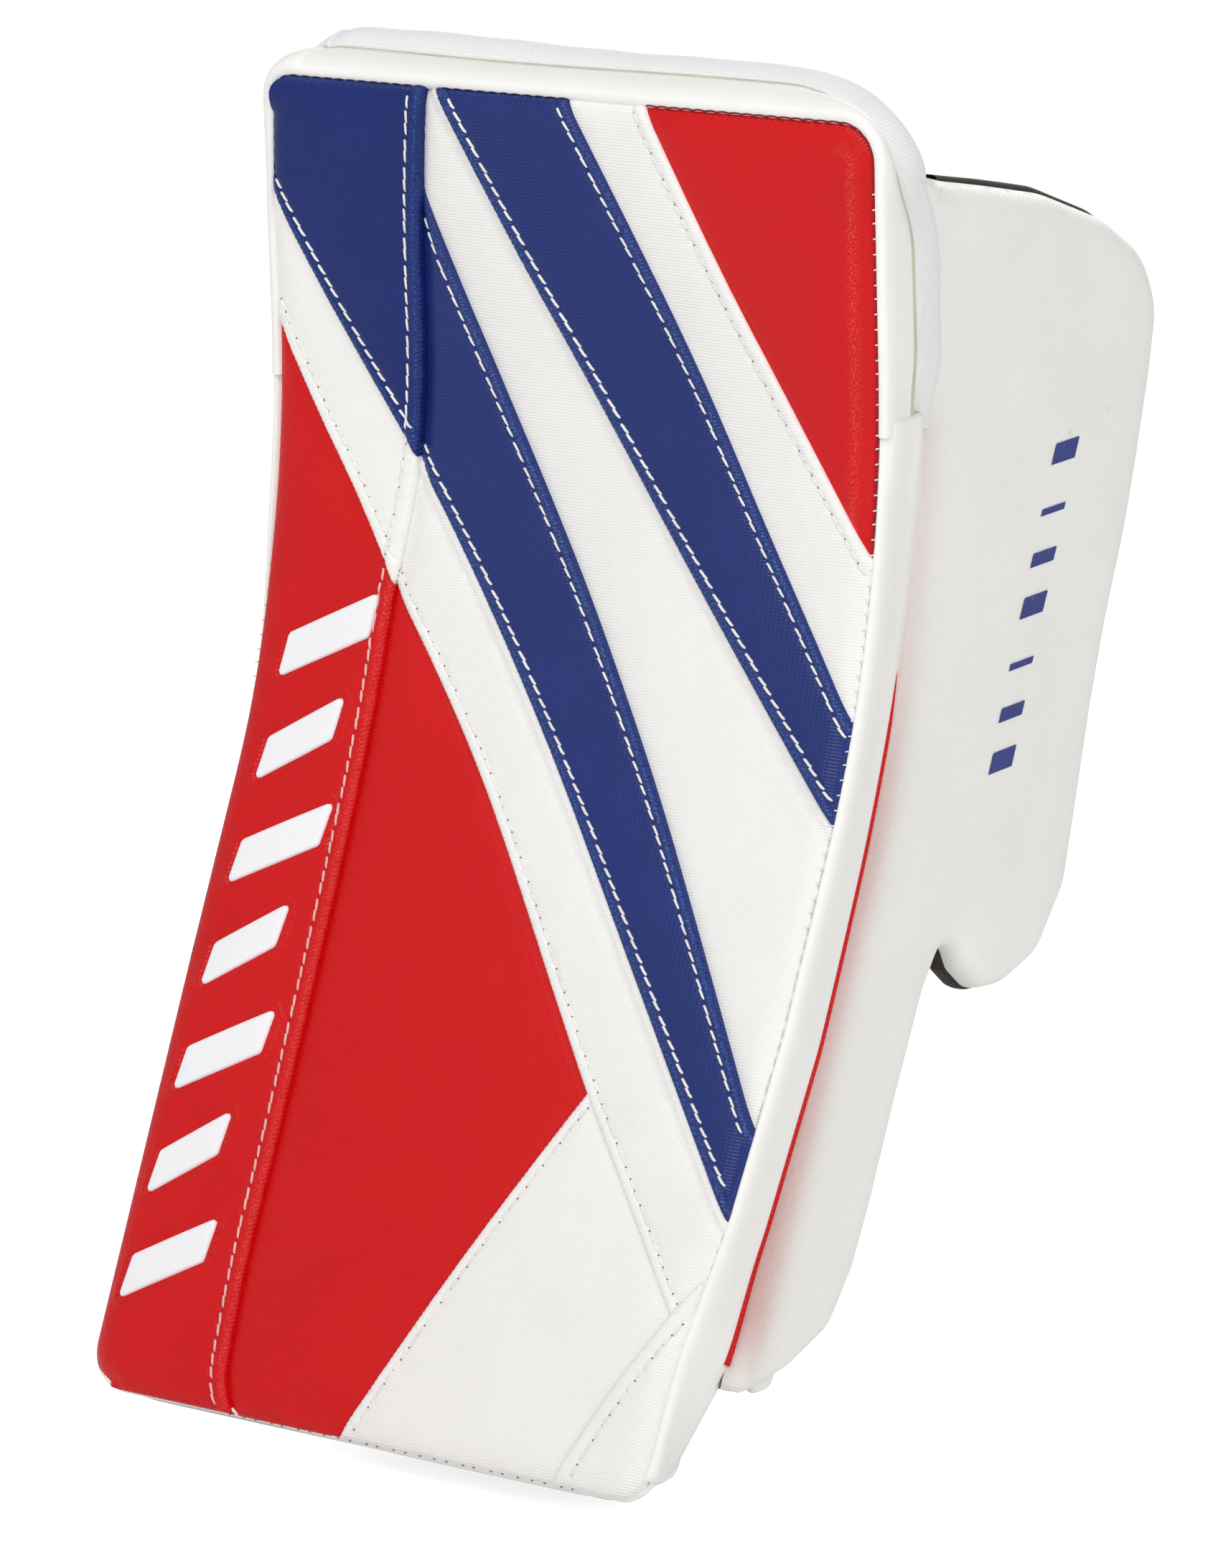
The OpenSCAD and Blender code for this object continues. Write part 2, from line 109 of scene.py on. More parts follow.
def bend(s):
    """How far the board has turned forward at height s, in radians."""
    return np.clip(s - BEND_LOW, 0, BEND_HIGH - BEND_LOW) / RADIUS


def face_y(s):
    return -RADIUS * (1 - np.cos(bend(s))) - np.maximum(s - BEND_HIGH, 0) * math.sin(BEND)


def face_z(s):
    return np.minimum(s, BEND_LOW) + RADIUS * np.sin(bend(s)) + np.maximum(s - BEND_HIGH, 0) * math.cos(BEND)


def surf(x, s, n):
    """Points of the board in upright millimetres (x, y, z)."""
    x, s, n = np.broadcast_arrays(np.asarray(x, float), np.asarray(s, float), np.asarray(n, float))
    a = bend(s)
    return np.stack([x, face_y(s) + n * np.cos(a), face_z(s) + n * np.sin(a)], -1)


def world(p):
    """Upright millimetres to the row frame in metres."""
    q = (np.asarray(p, float) - MOUTH) * MM
    c, s = math.cos(LEAN), math.sin(LEAN)
    return np.stack([q[..., 0], q[..., 1] * c + q[..., 2] * s, -q[..., 1] * s + q[..., 2] * c], -1)


def wpoint(x, y, z):
    return Vector(world(np.array([x, y, z], float)))


# ---- curves ---------------------------------------------------------------------------
def lengths(p):
    """Length along a polyline at each of its points."""
    return np.r_[0, np.cumsum(np.linalg.norm(np.diff(p, axis=0), axis=1))]


def unit(v):
    return v / np.maximum(np.linalg.norm(v, axis=-1, keepdims=True), 1e-9)


def resample(p, step):
    p = np.asarray(p, float)
    d = lengths(p)
    u = np.linspace(0, d[-1], max(2, int(round(d[-1] / step)) + 1))
    return np.stack([np.interp(u, d, p[:, k]) for k in range(p.shape[1])], 1)


def spline(points, step=1.5, reach=0.0):
    """A smooth curve through the points in even steps; reach carries both ends straight on."""
    p = np.asarray(points, float)
    t = lengths(p)
    slope = np.diff(p, axis=0) / np.diff(t)[:, None]
    m = np.empty_like(p)
    if len(p) > 2:
        h = np.diff(t)[:, None]
        m[1:-1] = (slope[1:] * h[:-1] + slope[:-1] * h[1:]) / (h[1:] + h[:-1])
        m[0] = 1.5 * slope[0] - 0.5 * m[1]
        m[-1] = 1.5 * slope[-1] - 0.5 * m[-2]
    else:
        m[:] = slope[0]
    out = []
    for i in range(len(p) - 1):
        h = t[i + 1] - t[i]
        u = np.linspace(0, 1, 24, endpoint=False)[:, None]
        out.append((2 * u**3 - 3 * u**2 + 1) * p[i] + (u**3 - 2 * u**2 + u) * h * m[i]
                   + (3 * u**2 - 2 * u**3) * p[i + 1] + (u**3 - u**2) * h * m[i + 1])
    out = np.vstack(out + [p[-1:]])
    if reach:
        a, b = unit(out[0] - out[1]), unit(out[-1] - out[-2])
        out = np.vstack([out[0] + a * reach, out, out[-1] + b * reach])
    return resample(out, step)


def normals(line, closed=False):
    """Left-hand normals of a flat polyline."""
    if closed:
        t = np.roll(line, -1, 0) - np.roll(line, 1, 0)
    else:
        t = np.gradient(line, axis=0)
    t = unit(t)
    return np.stack([-t[:, 1], t[:, 0]], 1)


def outward(loop):
    """Outward normals of a closed outline."""
    n = normals(loop, True)
    return n if n[np.argmax(loop[:, 0])][0] > 0 else -n


def shift(line, d):
    """The line moved by d to its left."""
    return line + normals(line) * d


def rounded(corners, step=1.5):
    """A closed outline from (x, y, radius) corners, in even steps."""
    c = np.array(corners, float)
    out = []
    for i in range(len(c)):
        p, a, b, r = c[i, :2], c[i - 1, :2], c[(i + 1) % len(c), :2], c[i, 2]
        u, v = unit(a - p), unit(b - p)
        half = math.acos(np.clip(u @ v, -1, 1)) / 2
        if half > 1.555 or r <= 0:
            out.append(p)
            continue
        r = min(r, 0.48 * min(np.linalg.norm(a - p), np.linalg.norm(b - p)) * math.tan(half))
        cut = r / math.tan(half)
        centre = p + unit(u + v) * r / math.sin(half)
        e0, e1 = p + u * cut - centre, p + v * cut - centre
        w = math.pi - 2 * half
        for f in np.linspace(0, 1, max(4, int(r * w / 0.8)) + 1):
            out.append(centre + (math.sin((1 - f) * w) * e0 + math.sin(f * w) * e1) / math.sin(w))
    out.append(out[0])
    return resample(np.array(out), step)[:-1]


def nearest(p, line):
    """(distance, sign) of each point to an evenly stepped polyline; the sign is + on its left."""
    tree = KDTree(len(line))
    for i, q in enumerate(line):
        tree.insert((q[0], q[1], 0.0), i)
    tree.balance()
    k = np.array([tree.find((x, y, 0.0))[1] for x, y in p], int)
    step = np.diff(line, axis=0)
    square = np.maximum((step**2).sum(1), 1e-12)
    best = None
    for j in (np.clip(k - 1, 0, len(step) - 1), np.clip(k, 0, len(step) - 1)):
        q = p - line[j]
        t = np.clip((q * step[j]).sum(1) / square[j], 0, 1)
        d = np.linalg.norm(q - t[:, None] * step[j], axis=1)
        side = np.where(step[j, 0] * q[:, 1] - step[j, 1] * q[:, 0] >= 0, 1, -1)
        row = np.stack([d, side])
        best = row if best is None else np.where(row[0] < best[0], row, best)
    return best


def distance(p, line):
    return nearest(p, line)[0]


def signed(p, line):
    """Distance to a polyline, negative on its right."""
    d, side = nearest(p, line)
    return d * side


def inside(p, polygon):
    """True for the points inside a closed outline."""
    x, y = p[:, 0], p[:, 1]
    a, b = polygon, np.roll(polygon, -1, 0)
    hit = np.zeros(len(p), bool)
    for (x0, y0), (x1, y1) in zip(a, b):
        if y0 != y1:
            cross = ((y0 > y) != (y1 > y)) & (x < (x1 - x0) * (y - y0) / (y1 - y0) + x0)
            hit ^= cross
    return hit


def smooth(x):
    """An even step from 0 at 0 to 1 at 1."""
    x = np.clip(x, 0, 1)
    return x * x * (3 - 2 * x)


def roll(d, width, drop):
    """How far a soft edge has turned down at distance d from its end."""
    u = np.clip(1 - d / width, 0, 1)
    return drop * (1 - np.sqrt(np.maximum(1 - u * u, 0)))


def closed(line):
    """An outline with its first point repeated at its end."""
    return np.vstack([line, line[:1]])


# ---- meshes ---------------------------------------------------------------------------
def mesh_object(name, verts, faces, uv=None, attributes=None, flat=False):
    """A mesh in the row frame from upright millimetres; uv in metres, per vertex."""
    me = bpy.data.meshes.new(name)
    me.from_pydata([tuple(v) for v in world(verts)], [], [tuple(int(i) for i in f) for f in faces])
    me.validate()
    ob = bpy.data.objects.new(name, me)
    bpy.context.scene.collection.objects.link(ob)
    if uv is not None:
        layer = me.uv_layers.new(name="UVMap")
        index = np.empty(len(me.loops), np.int32)
        me.loops.foreach_get("vertex_index", index)
        layer.data.foreach_set("uv", np.asarray(uv, np.float32)[index].ravel())
    for key, values in (attributes or {}).items():
        at = me.attributes.new(key, "FLOAT", "POINT")
        at.data.foreach_set("value", np.asarray(values, np.float32))
    me.polygons.foreach_set("use_smooth", [not flat] * len(me.polygons))
    return ob


def outward_faces(ob):
    bm = bmesh.new()
    bm.from_mesh(ob.data)
    bmesh.ops.recalc_face_normals(bm, faces=bm.faces)
    bm.to_mesh(ob.data)
    bm.free()


def finish_piece(ob, material, body, replaces=(), blend=None):
    """Gives a piece its material and attaches it to its body, or with a blend only bakes its transform, and
    hides the CAD nodes it replaces.
    """
    ob.data.materials.clear()
    ob.data.materials.append(material)
    if blend:
        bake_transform(ob)
    else:
        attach(ob, body)
    if replaces:
        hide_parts(*replaces)
    return ob


def turned_piece(name, verts, faces, material, body, replaces=(), blend=None, uv=None, attributes=None):
    """A finished piece whose faces are turned outwards."""
    ob = mesh_object(name, verts, faces, uv, attributes)
    outward_faces(ob)
    return finish_piece(ob, material, body, replaces, blend)


def triangulate(points, edges, keep):
    """Constrained triangles of the points, kept where keep(centres) is true."""
    verts, _, faces, _, _, _ = delaunay_2d_cdt([Vector((float(x), float(y))) for x, y in points],
                                               edges, [], 0, 1e-4, False)
    v = np.array([tuple(c) for c in verts])
    f = np.array([tuple(t) for t in faces], int)
    f = f[keep(v[f].mean(1))]
    used, f = np.unique(f, return_inverse=True)
    v, f = v[used], f.reshape(-1, 3)
    a, b, c = v[f[:, 0]], v[f[:, 1]], v[f[:, 2]]
    area = (b[:, 0] - a[:, 0]) * (c[:, 1] - a[:, 1]) - (b[:, 1] - a[:, 1]) * (c[:, 0] - a[:, 0])
    f = np.where(area[:, None] < 0, f[:, ::-1], f)
    return v, f[np.abs(area) > 1e-6]


def fill(border, inner):
    """Triangles of a closed outline, with the points inner inside it."""
    edges = chain_edges(0, len(border), True)
    return triangulate(np.vstack([border, inner]), edges, lambda c: inside(c, border))


def border_edges(faces):
    """Directed edges that belong to one triangle only."""
    e = np.vstack([faces[:, [0, 1]], faces[:, [1, 2]], faces[:, [2, 0]]])
    used = Counter((min(a, b), max(a, b)) for a, b in e)
    return [(a, b) for a, b in e if used[(min(a, b), max(a, b))] == 1]


def chain_edges(offset, count, loop=False):
    """Edges along a chain of points numbered from offset."""
    e = [(offset + i, offset + i + 1) for i in range(count - 1)]
    return e + [(offset + count - 1, offset)] if loop else e


def hexes(x0, x1, y0, y1, pitch):
    """An even field of points in staggered rows."""
    rows = []
    for j, y in enumerate(np.arange(y0, y1, pitch * 0.866)):
        xs = np.arange(x0 + (pitch / 2 if j % 2 else 0), x1, pitch)
        rows.append(np.stack([xs, np.full(len(xs), y)], 1))
    return np.vstack(rows)


def grid_faces(rows, cols, wrap_cols=False, wrap_rows=False):
    """Quads of a grid of points numbered row by row, closed on itself where wrapped."""
    faces = []
    for i in range(rows if wrap_rows else rows - 1):
        for j in range(cols if wrap_cols else cols - 1):
            a, b = i * cols + j, i * cols + (j + 1) % cols
            c, d = ((i + 1) % rows) * cols + (j + 1) % cols, ((i + 1) % rows) * cols + j
            faces.append((a, b, c, d))
    return faces


def moved(faces, base):
    """The faces with base added to their vertex numbers."""
    return [tuple(int(i) + base for i in f) for f in faces]


def two_sided(faces, k):
    """The faces, and the same ones k vertices further on, facing the other way."""
    return list(faces) + [f[::-1] for f in moved(faces, k)]


def skirted(f, k):
    """Numbers of a sheet's rim vertices, and its faces with a skirt down to their copies from k on."""
    rim = border_edges(f)
    ids = sorted({i for e in rim for i in e})
    low = {i: k + j for j, i in enumerate(ids)}
    return ids, [tuple(t) for t in f] + [(b, a, low[a], low[b]) for a, b in rim]


def doubled(f, k):
    """Faces of a closed slab: a sheet of k vertices, its copy underneath and the edge between them."""
    return two_sided([tuple(t) for t in f], k) + [(b, a, a + k, b + k) for a, b in border_edges(f)]


def grid_uv(a, b):
    """UV of a grid of points from the lengths along its two directions."""
    return np.stack(np.meshgrid(a, b, indexing="ij"), -1).reshape(-1, 2) * MM


def spaced(points, cell):
    """The first point in each square cell."""
    first = {}
    for i, q in enumerate(np.floor(points / cell).astype(int)):
        first.setdefault(tuple(q), i)
    return points[list(first.values())]


# ---- materials ------------------------------------------------------------------------
def srgb(r, g, b):
    """A colour of 0 to 255 steps as linear values."""
    parts = (r / 255, g / 255, b / 255)
    return tuple(c / 12.92 if c <= 0.04045 else ((c + 0.055) / 1.055) ** 2.4 for c in parts) + (1.0,)


def darker(colour, share):
    return tuple(c * share for c in colour[:3]) + (1.0,)


class Nodes:
    """A short way to wire shader nodes."""

    def __init__(self, name):
        self.mat = bpy.data.materials.new(name)
        self.mat.use_nodes = True
        self.tree = self.mat.node_tree
        self.shader = self.tree.nodes["Principled BSDF"]
        self.place = None

    def add(self, kind, **settings):
        node = self.tree.nodes.new("ShaderNode" + kind)
        for key, value in settings.items():
            setattr(node, key, value)
        return node

    def feed(self, socket, value):
        """Sets a socket to a value, or links it to another node's output."""
        if isinstance(value, bpy.types.NodeSocket):
            self.tree.links.new(value, socket)
        else:
            socket.default_value = value

    def surface(self, **values):
        """Feeds the shader's inputs: base_color stands for Base Color."""
        for key, value in values.items():
            words = [w if w == "IOR" else w.capitalize() for w in key.split("_")]
            self.feed(self.shader.inputs[" ".join(words)], value)

    def math(self, op, a, b=None):
        node = self.add("Math", operation=op)
        self.feed(node.inputs[0], a)
        if b is not None:
            self.feed(node.inputs[1], b)
        return node.outputs[0]

    def times(self, a, b):
        return self.math("MULTIPLY", a, b)

    def plus(self, a, b):
        return self.math("ADD", a, b)

    def wave(self, phase, pitch):
        return self.math("SINE", self.times(phase, 2 * math.pi / pitch))

    def uv(self):
        node = self.add("UVMap", uv_map="UVMap")
        split = self.add("SeparateXYZ")
        self.feed(split.inputs[0], node.outputs[0])
        return node.outputs[0], split.outputs[0], split.outputs[1]

    def noise(self, scale, detail=3.0, rough=0.5, vector=None):
        """Noise over the object's own coordinates, or over the vector."""
        if vector is None:
            self.place = self.place or self.add("TexCoord").outputs["Object"]
            vector = self.place
        node = self.add("TexNoise")
        for key, value in (("Scale", scale), ("Detail", detail), ("Roughness", rough), ("Vector", vector)):
            self.feed(node.inputs[key], value)
        return node.outputs["Fac"]

    def mix(self, factor, a, b):
        node = self.add("Mix", data_type="RGBA")
        for socket, value in ((0, factor), (6, a), (7, b)):
            self.feed(node.inputs[socket], value)
        return node.outputs[2]

    def span(self, value, low, high, out_low, out_high):
        node = self.add("MapRange")
        for socket, number in enumerate((value, low, high, out_low, out_high)):
            self.feed(node.inputs[socket], number)
        return node.outputs[0]

    def bump(self, height, distance, strength, after=None):
        node = self.add("Bump")
        for key, value in (("Distance", distance), ("Strength", strength), ("Height", height)):
            self.feed(node.inputs[key], value)
        if after is not None:
            self.feed(node.inputs["Normal"], after)
        return node.outputs[0]

    def attribute(self, name):
        return self.add("Attribute", attribute_name=name).outputs["Fac"]

    def mottled(self, colour, share, cloud, low=0.35, high=0.65):
        return self.mix(self.span(cloud, low, high, 0, 1), darker(colour, share), colour)


def rib(n, uv, u, v, pitch):
    """Fine ribs that waver along their length."""
    wobble = n.times(n.noise(240, 1, vector=uv), 1.3)
    height = n.math("SINE", n.plus(n.times(v, 2 * math.pi / pitch), wobble))
    return n.plus(height, n.times(n.wave(u, pitch * 1.6), 0.35))


def twill(n, uv, u, v, pitch):
    """Slanted ribs, crossed by wider ones."""
    slant = n.math("SUBTRACT", n.times(v, 0.8), n.times(u, 0.6))
    wobble = n.times(n.noise(300, 1, vector=uv), 1.6)
    height = n.math("SINE", n.plus(n.times(slant, 2 * math.pi / pitch), wobble))
    across = n.plus(n.times(v, 0.6), n.times(u, 0.8))
    return n.plus(height, n.times(n.wave(across, pitch * 2.2), 0.4))


def skin(name, colour, pattern, pitch=0.001, depth=0.00008, rough=0.42, specular=0.5, shade=0.9,
         tint=None, wear=0.0, glint=None):
    """Synthetic leather: a fine rib, twill or grain, soft mottling and a worn gloss, with a painted highlight
    and a painted red reflection where their attributes are set.
    """
    n = Nodes(name)
    uv, u, v = n.uv()
    cloud = n.noise(38, 4)
    fine = n.noise(900, 2)
    base = n.mottled(colour, shade, cloud)
    # painted highlight: lighter dots of the glint colour where the glint attribute is set
    if glint:
        dots = n.span(n.noise(1500, 1, vector=uv), 0.45, 0.62, 0, 0.8)
        base = n.mix(n.times(n.attribute("glint"), dots), base, glint)
    # painted reflection of the red piping, mixed in by its own attribute
    if tint:
        base = n.mix(n.attribute("tint"), base, tint)
    if wear:
        base = n.mix(n.span(n.noise(150, 2), 0.74, 0.80, 0, wear), base, srgb(150, 148, 142))
    height = pattern(n, uv, u, v, pitch) if pattern else n.times(fine, 2.0)
    normal = n.bump(n.noise(90, 3), 0.0012, 0.25)
    gloss = n.plus(n.times(cloud, 0.6), n.times(fine, 0.4))
    n.surface(base_color=base, specular_IOR_level=specular, normal=n.bump(height, depth, 0.55, normal),
              roughness=n.span(gloss, 0.3, 0.7, rough - 0.05, rough + 0.06))
    return n.mat


def weave(n, u, v, k):
    a, b = (n.math("SINE", n.times(t, k)) for t in (u, v))
    return n.plus(n.math("MAXIMUM", a, b), n.times(n.times(a, b), 0.6))


def knit(n, u, v, k):
    a, b = (n.math("SINE", n.times(n.math(op, u, v), k * 0.7)) for op in ("ADD", "SUBTRACT"))
    return n.times(a, b)


def pile(n, *_):
    return n.times(n.noise(1500, 2, 0.7), 2.4)


def cloth(name, colour, pitch, depth, rough, style=weave, shade=0.8, sheen=0.15):
    """Woven nylon, brushed lining or fine knitted mesh."""
    n = Nodes(name)
    _, u, v = n.uv()
    height = style(n, u, v, 2 * math.pi / pitch)
    base = n.mottled(colour, shade, n.noise(60, 4), 0.3, 0.7)
    # painted shade: the weave's low spots are darkened, standing for the shade between the threads
    base = n.mix(n.span(height, -1.2, 1.2, 0.35, 0), base, darker(colour, 0.55))
    normal = n.bump(n.noise(120, 3), 0.0015, 0.2)
    n.surface(base_color=base, roughness=rough, specular_IOR_level=0.3, sheen_weight=sheen,
              normal=n.bump(height, depth, 0.7, normal))
    return n.mat


def plain(name, colour, rough, metal=0.0, grain=0.00003, scale=700):
    """A moulded, metal or thread surface with a fine grain."""
    n = Nodes(name)
    fine = n.noise(scale, 3)
    n.surface(base_color=n.mottled(colour, 0.86, n.noise(80, 3)), metallic=metal,
              roughness=n.span(fine, 0.3, 0.7, rough - 0.05, rough + 0.07), normal=n.bump(fine, grain, 0.6))
    return n.mat


def thread(name, colour, rough):
    return plain(name, colour, rough, grain=0.00008, scale=3000)


WHITE_RIB = skin("white_rib", srgb(246, 245, 242), rib, 0.0008, 0.00007, 0.46, shade=0.975)
# white_twill's pink mix colour is a painted reflection of the red piping on the sidewall
WHITE_TWILL = skin("white_twill", srgb(249, 248, 244), twill, 0.0009, 0.00005, 0.5, shade=0.975,
                   tint=srgb(212, 160, 152), wear=0.25)
WHITE_SOFT = skin("white_soft", srgb(250, 249, 246), None, depth=0.00003, rough=0.5, shade=0.985)
# the glint colours below are painted highlights along folded edges, and on red where it turns the right edge
BLUE_RIB = skin("blue_rib", srgb(22, 45, 116), rib, 0.0009, 0.00012, 0.36, 0.35, 0.92,
                glint=srgb(70, 108, 178))
BLUE_TWILL = skin("blue_twill", srgb(20, 41, 112), twill, 0.001, 0.0001, 0.38, 0.3, 0.92,
                  glint=srgb(60, 96, 165))
RED_TWILL = skin("red_twill", srgb(212, 6, 12), twill, 0.001, 0.0001, 0.38, 0.3, 0.96,
                 glint=srgb(238, 74, 68))
EMBLEM = skin("emblem_film", srgb(247, 247, 250), None, depth=0.00001, shade=0.99)
PRINT = skin("print_film", srgb(52, 64, 136), None, depth=0.00001, rough=0.5, shade=0.95)
PALM = skin("palm_leather", srgb(224, 222, 214), None, depth=0.00012, rough=0.55, shade=0.93)
STRAP = skin("strap_leather", srgb(238, 237, 233), twill, 0.0009, 0.00006, 0.5, shade=0.97)
MESH_WHITE = cloth("mesh_knit", srgb(252, 252, 252), 0.0011, 0.00012, 0.8, knit, shade=0.985)
NYLON = cloth("nylon_black", srgb(38, 38, 41), 0.0011, 0.0002, 0.75)
LINING = cloth("lining_dark", srgb(52, 42, 39), 0.0009, 0.0001, 0.85)
PAD = cloth("pad_lining", srgb(58, 58, 62), 0.0012, 0.0003, 0.9, pile, sheen=0.4)
FOAM = cloth("foam_white", srgb(214, 213, 208), 0.001, 0.0003, 0.95, pile, sheen=0.0)
SUEDE = cloth("grip_suede", srgb(92, 92, 96), 0.001, 0.0003, 0.95, pile, sheen=0.5)
WEBBING = cloth("webbing_black", srgb(40, 40, 43), 0.0016, 0.0003, 0.7)
HOOK = cloth("hook_loop", srgb(46, 46, 49), 0.0009, 0.0006, 0.95, pile, sheen=0.5)
LACE = cloth("lace_braid", srgb(236, 235, 228), 0.0012, 0.00025, 0.8, knit)
RING = plain("ring_nylon", srgb(42, 42, 45), 0.42)
METAL = plain("eyelet_nickel", srgb(196, 196, 198), 0.25, 1.0, 0.00002)
THREAD = thread("thread_white", srgb(246, 245, 240), 0.6)
THREAD_PINK = thread("thread_pink", srgb(240, 196, 192), 0.6)
THREAD_GREY = thread("thread_grey", srgb(196, 198, 184), 0.7)
# thread_hole's grey is painted shade: it marks the dark insides of needle holes
THREAD_HOLE = thread("thread_hole", srgb(128, 124, 122), 0.9)
THREAD_GREEN = thread("thread_green", srgb(205, 208, 186), 0.7)
# painted shadow: dark cords laid in the gap under the binding's edge
PAINTED_SHADOW_NAVY = thread("shadow_navy", srgb(16, 20, 58), 0.8)
PAINTED_SHADOW_RED = thread("shadow_maroon", srgb(128, 14, 18), 0.8)


# ---- the front face: seams ------------------------------------------------------------
SEAM_POINTS = {
    "strip": [(-46, FACE), (-48, 335), (-50, 262), (-54.5, 227), (-55, 187), (-54, 155), (-52.5, 85),
              (-51.3, 24), (-49.6, 9), (-45, -1)],
    "corner": [(-99.5, 331), (-72, 290), (-50, 262)],
    "red_strip": [(-99.5, 296), (-84, 270), (-70, 250), (-54.5, 227)],
    "long_upper": [(-48, 335), (-22.5, 285), (16.5, 222), (60.5, 156), (96.5, 101)],
    "long_lower": [(-50, 262), (-7, 206), (40, 146), (81, 94), (96, 75)],
    "short_upper": [(1.7, FACE), (30.5, 315), (69, 250), (88.5, 222), (99.5, 207)],
    "short_lower": [(-42.5, FACE), (-7.5, 308), (42, 242), (87.5, 192), (99.5, 180)],
    "red_corner": [(26.5, FACE), (58, 308), (91, 260), (99.5, 249)],
    "white_edge": [(-54.5, 227), (-12, 176), (32, 117), (44, 101), (65, 75), (86.5, 48)],
    "bottom": [(44, 101), (16.5, 51), (-8.5, 0)],
    "patch": [(94.5, 60), (86.5, 48), (72, 22), (62.5, 0)],
}
SEAMS = {key: spline(points, reach=14) for key, points in SEAM_POINTS.items()}
RIGHT, LEFT = 99.3, -98.0       # the top corners, in x
RIGHT_TURN, LEFT_TURN = 10, 6   # and their radii on the face
OUTLINE = rounded([(0, 0, 0), (89.9, 0, 7), (91.0, 36, 60), (96.3, 75, 80), (RIGHT, 125, 120),
                   (RIGHT, FACE, RIGHT_TURN), (LEFT, FACE, LEFT_TURN), (-99.6, 325, 120), (-99.4, 240, 200),
                   (-98.8, 120, 200), (-97.2, 0, 12)], 1.5)
OUT_NORMALS = outward(OUTLINE)
LOOP = closed(OUTLINE)


def stretch(a, b):
    """Indices along the outline, anticlockwise, from the point nearest a to the one nearest b."""
    i, j = (int(np.linalg.norm(OUTLINE - np.array(p), axis=1).argmin()) for p in (a, b))
    return np.arange(i, j + 1 if j > i else j + 1 + len(OUTLINE)) % len(OUTLINE)


SOFT_SIDES = OUTLINE[stretch((-98.5, 352), (-90, 0))]
BOUND_SIDES = OUTLINE[stretch((-86, 0), (-94, FACE))]
# from a folded edge to its stitch line
FRAY = {"strip": 4.3, "corner": 3.3, "long_upper": 3.2, "long_lower": 3.3, "short_upper": 3.3,
        "short_lower": 3.3, "red_strip": 3.6, "red_corner": 3.4, "white_edge": 3.2, "bottom": 3.1,
        "patch": 4.4}


def bar_shape(i):
    """One slanted bar of the strip's mark."""
    s, x0, x1 = 24 + i * 29, -91 + i * 0.4, -66 - (i % 2) * 5 + i * 0.9
    return rounded([(x0, s, 0.8), (x1, s + 14, 0.8), (x1 + 1.5, s + 26, 0.8), (x0 + 1.5, s + 12, 0.8)], 1.0)


BARS = [bar_shape(i) for i in range(7)]


def ridge(d, place, width):
    """A round ridge of height 1 along the distance place from a line."""
    return np.exp(-((d - place) / width) ** 2)


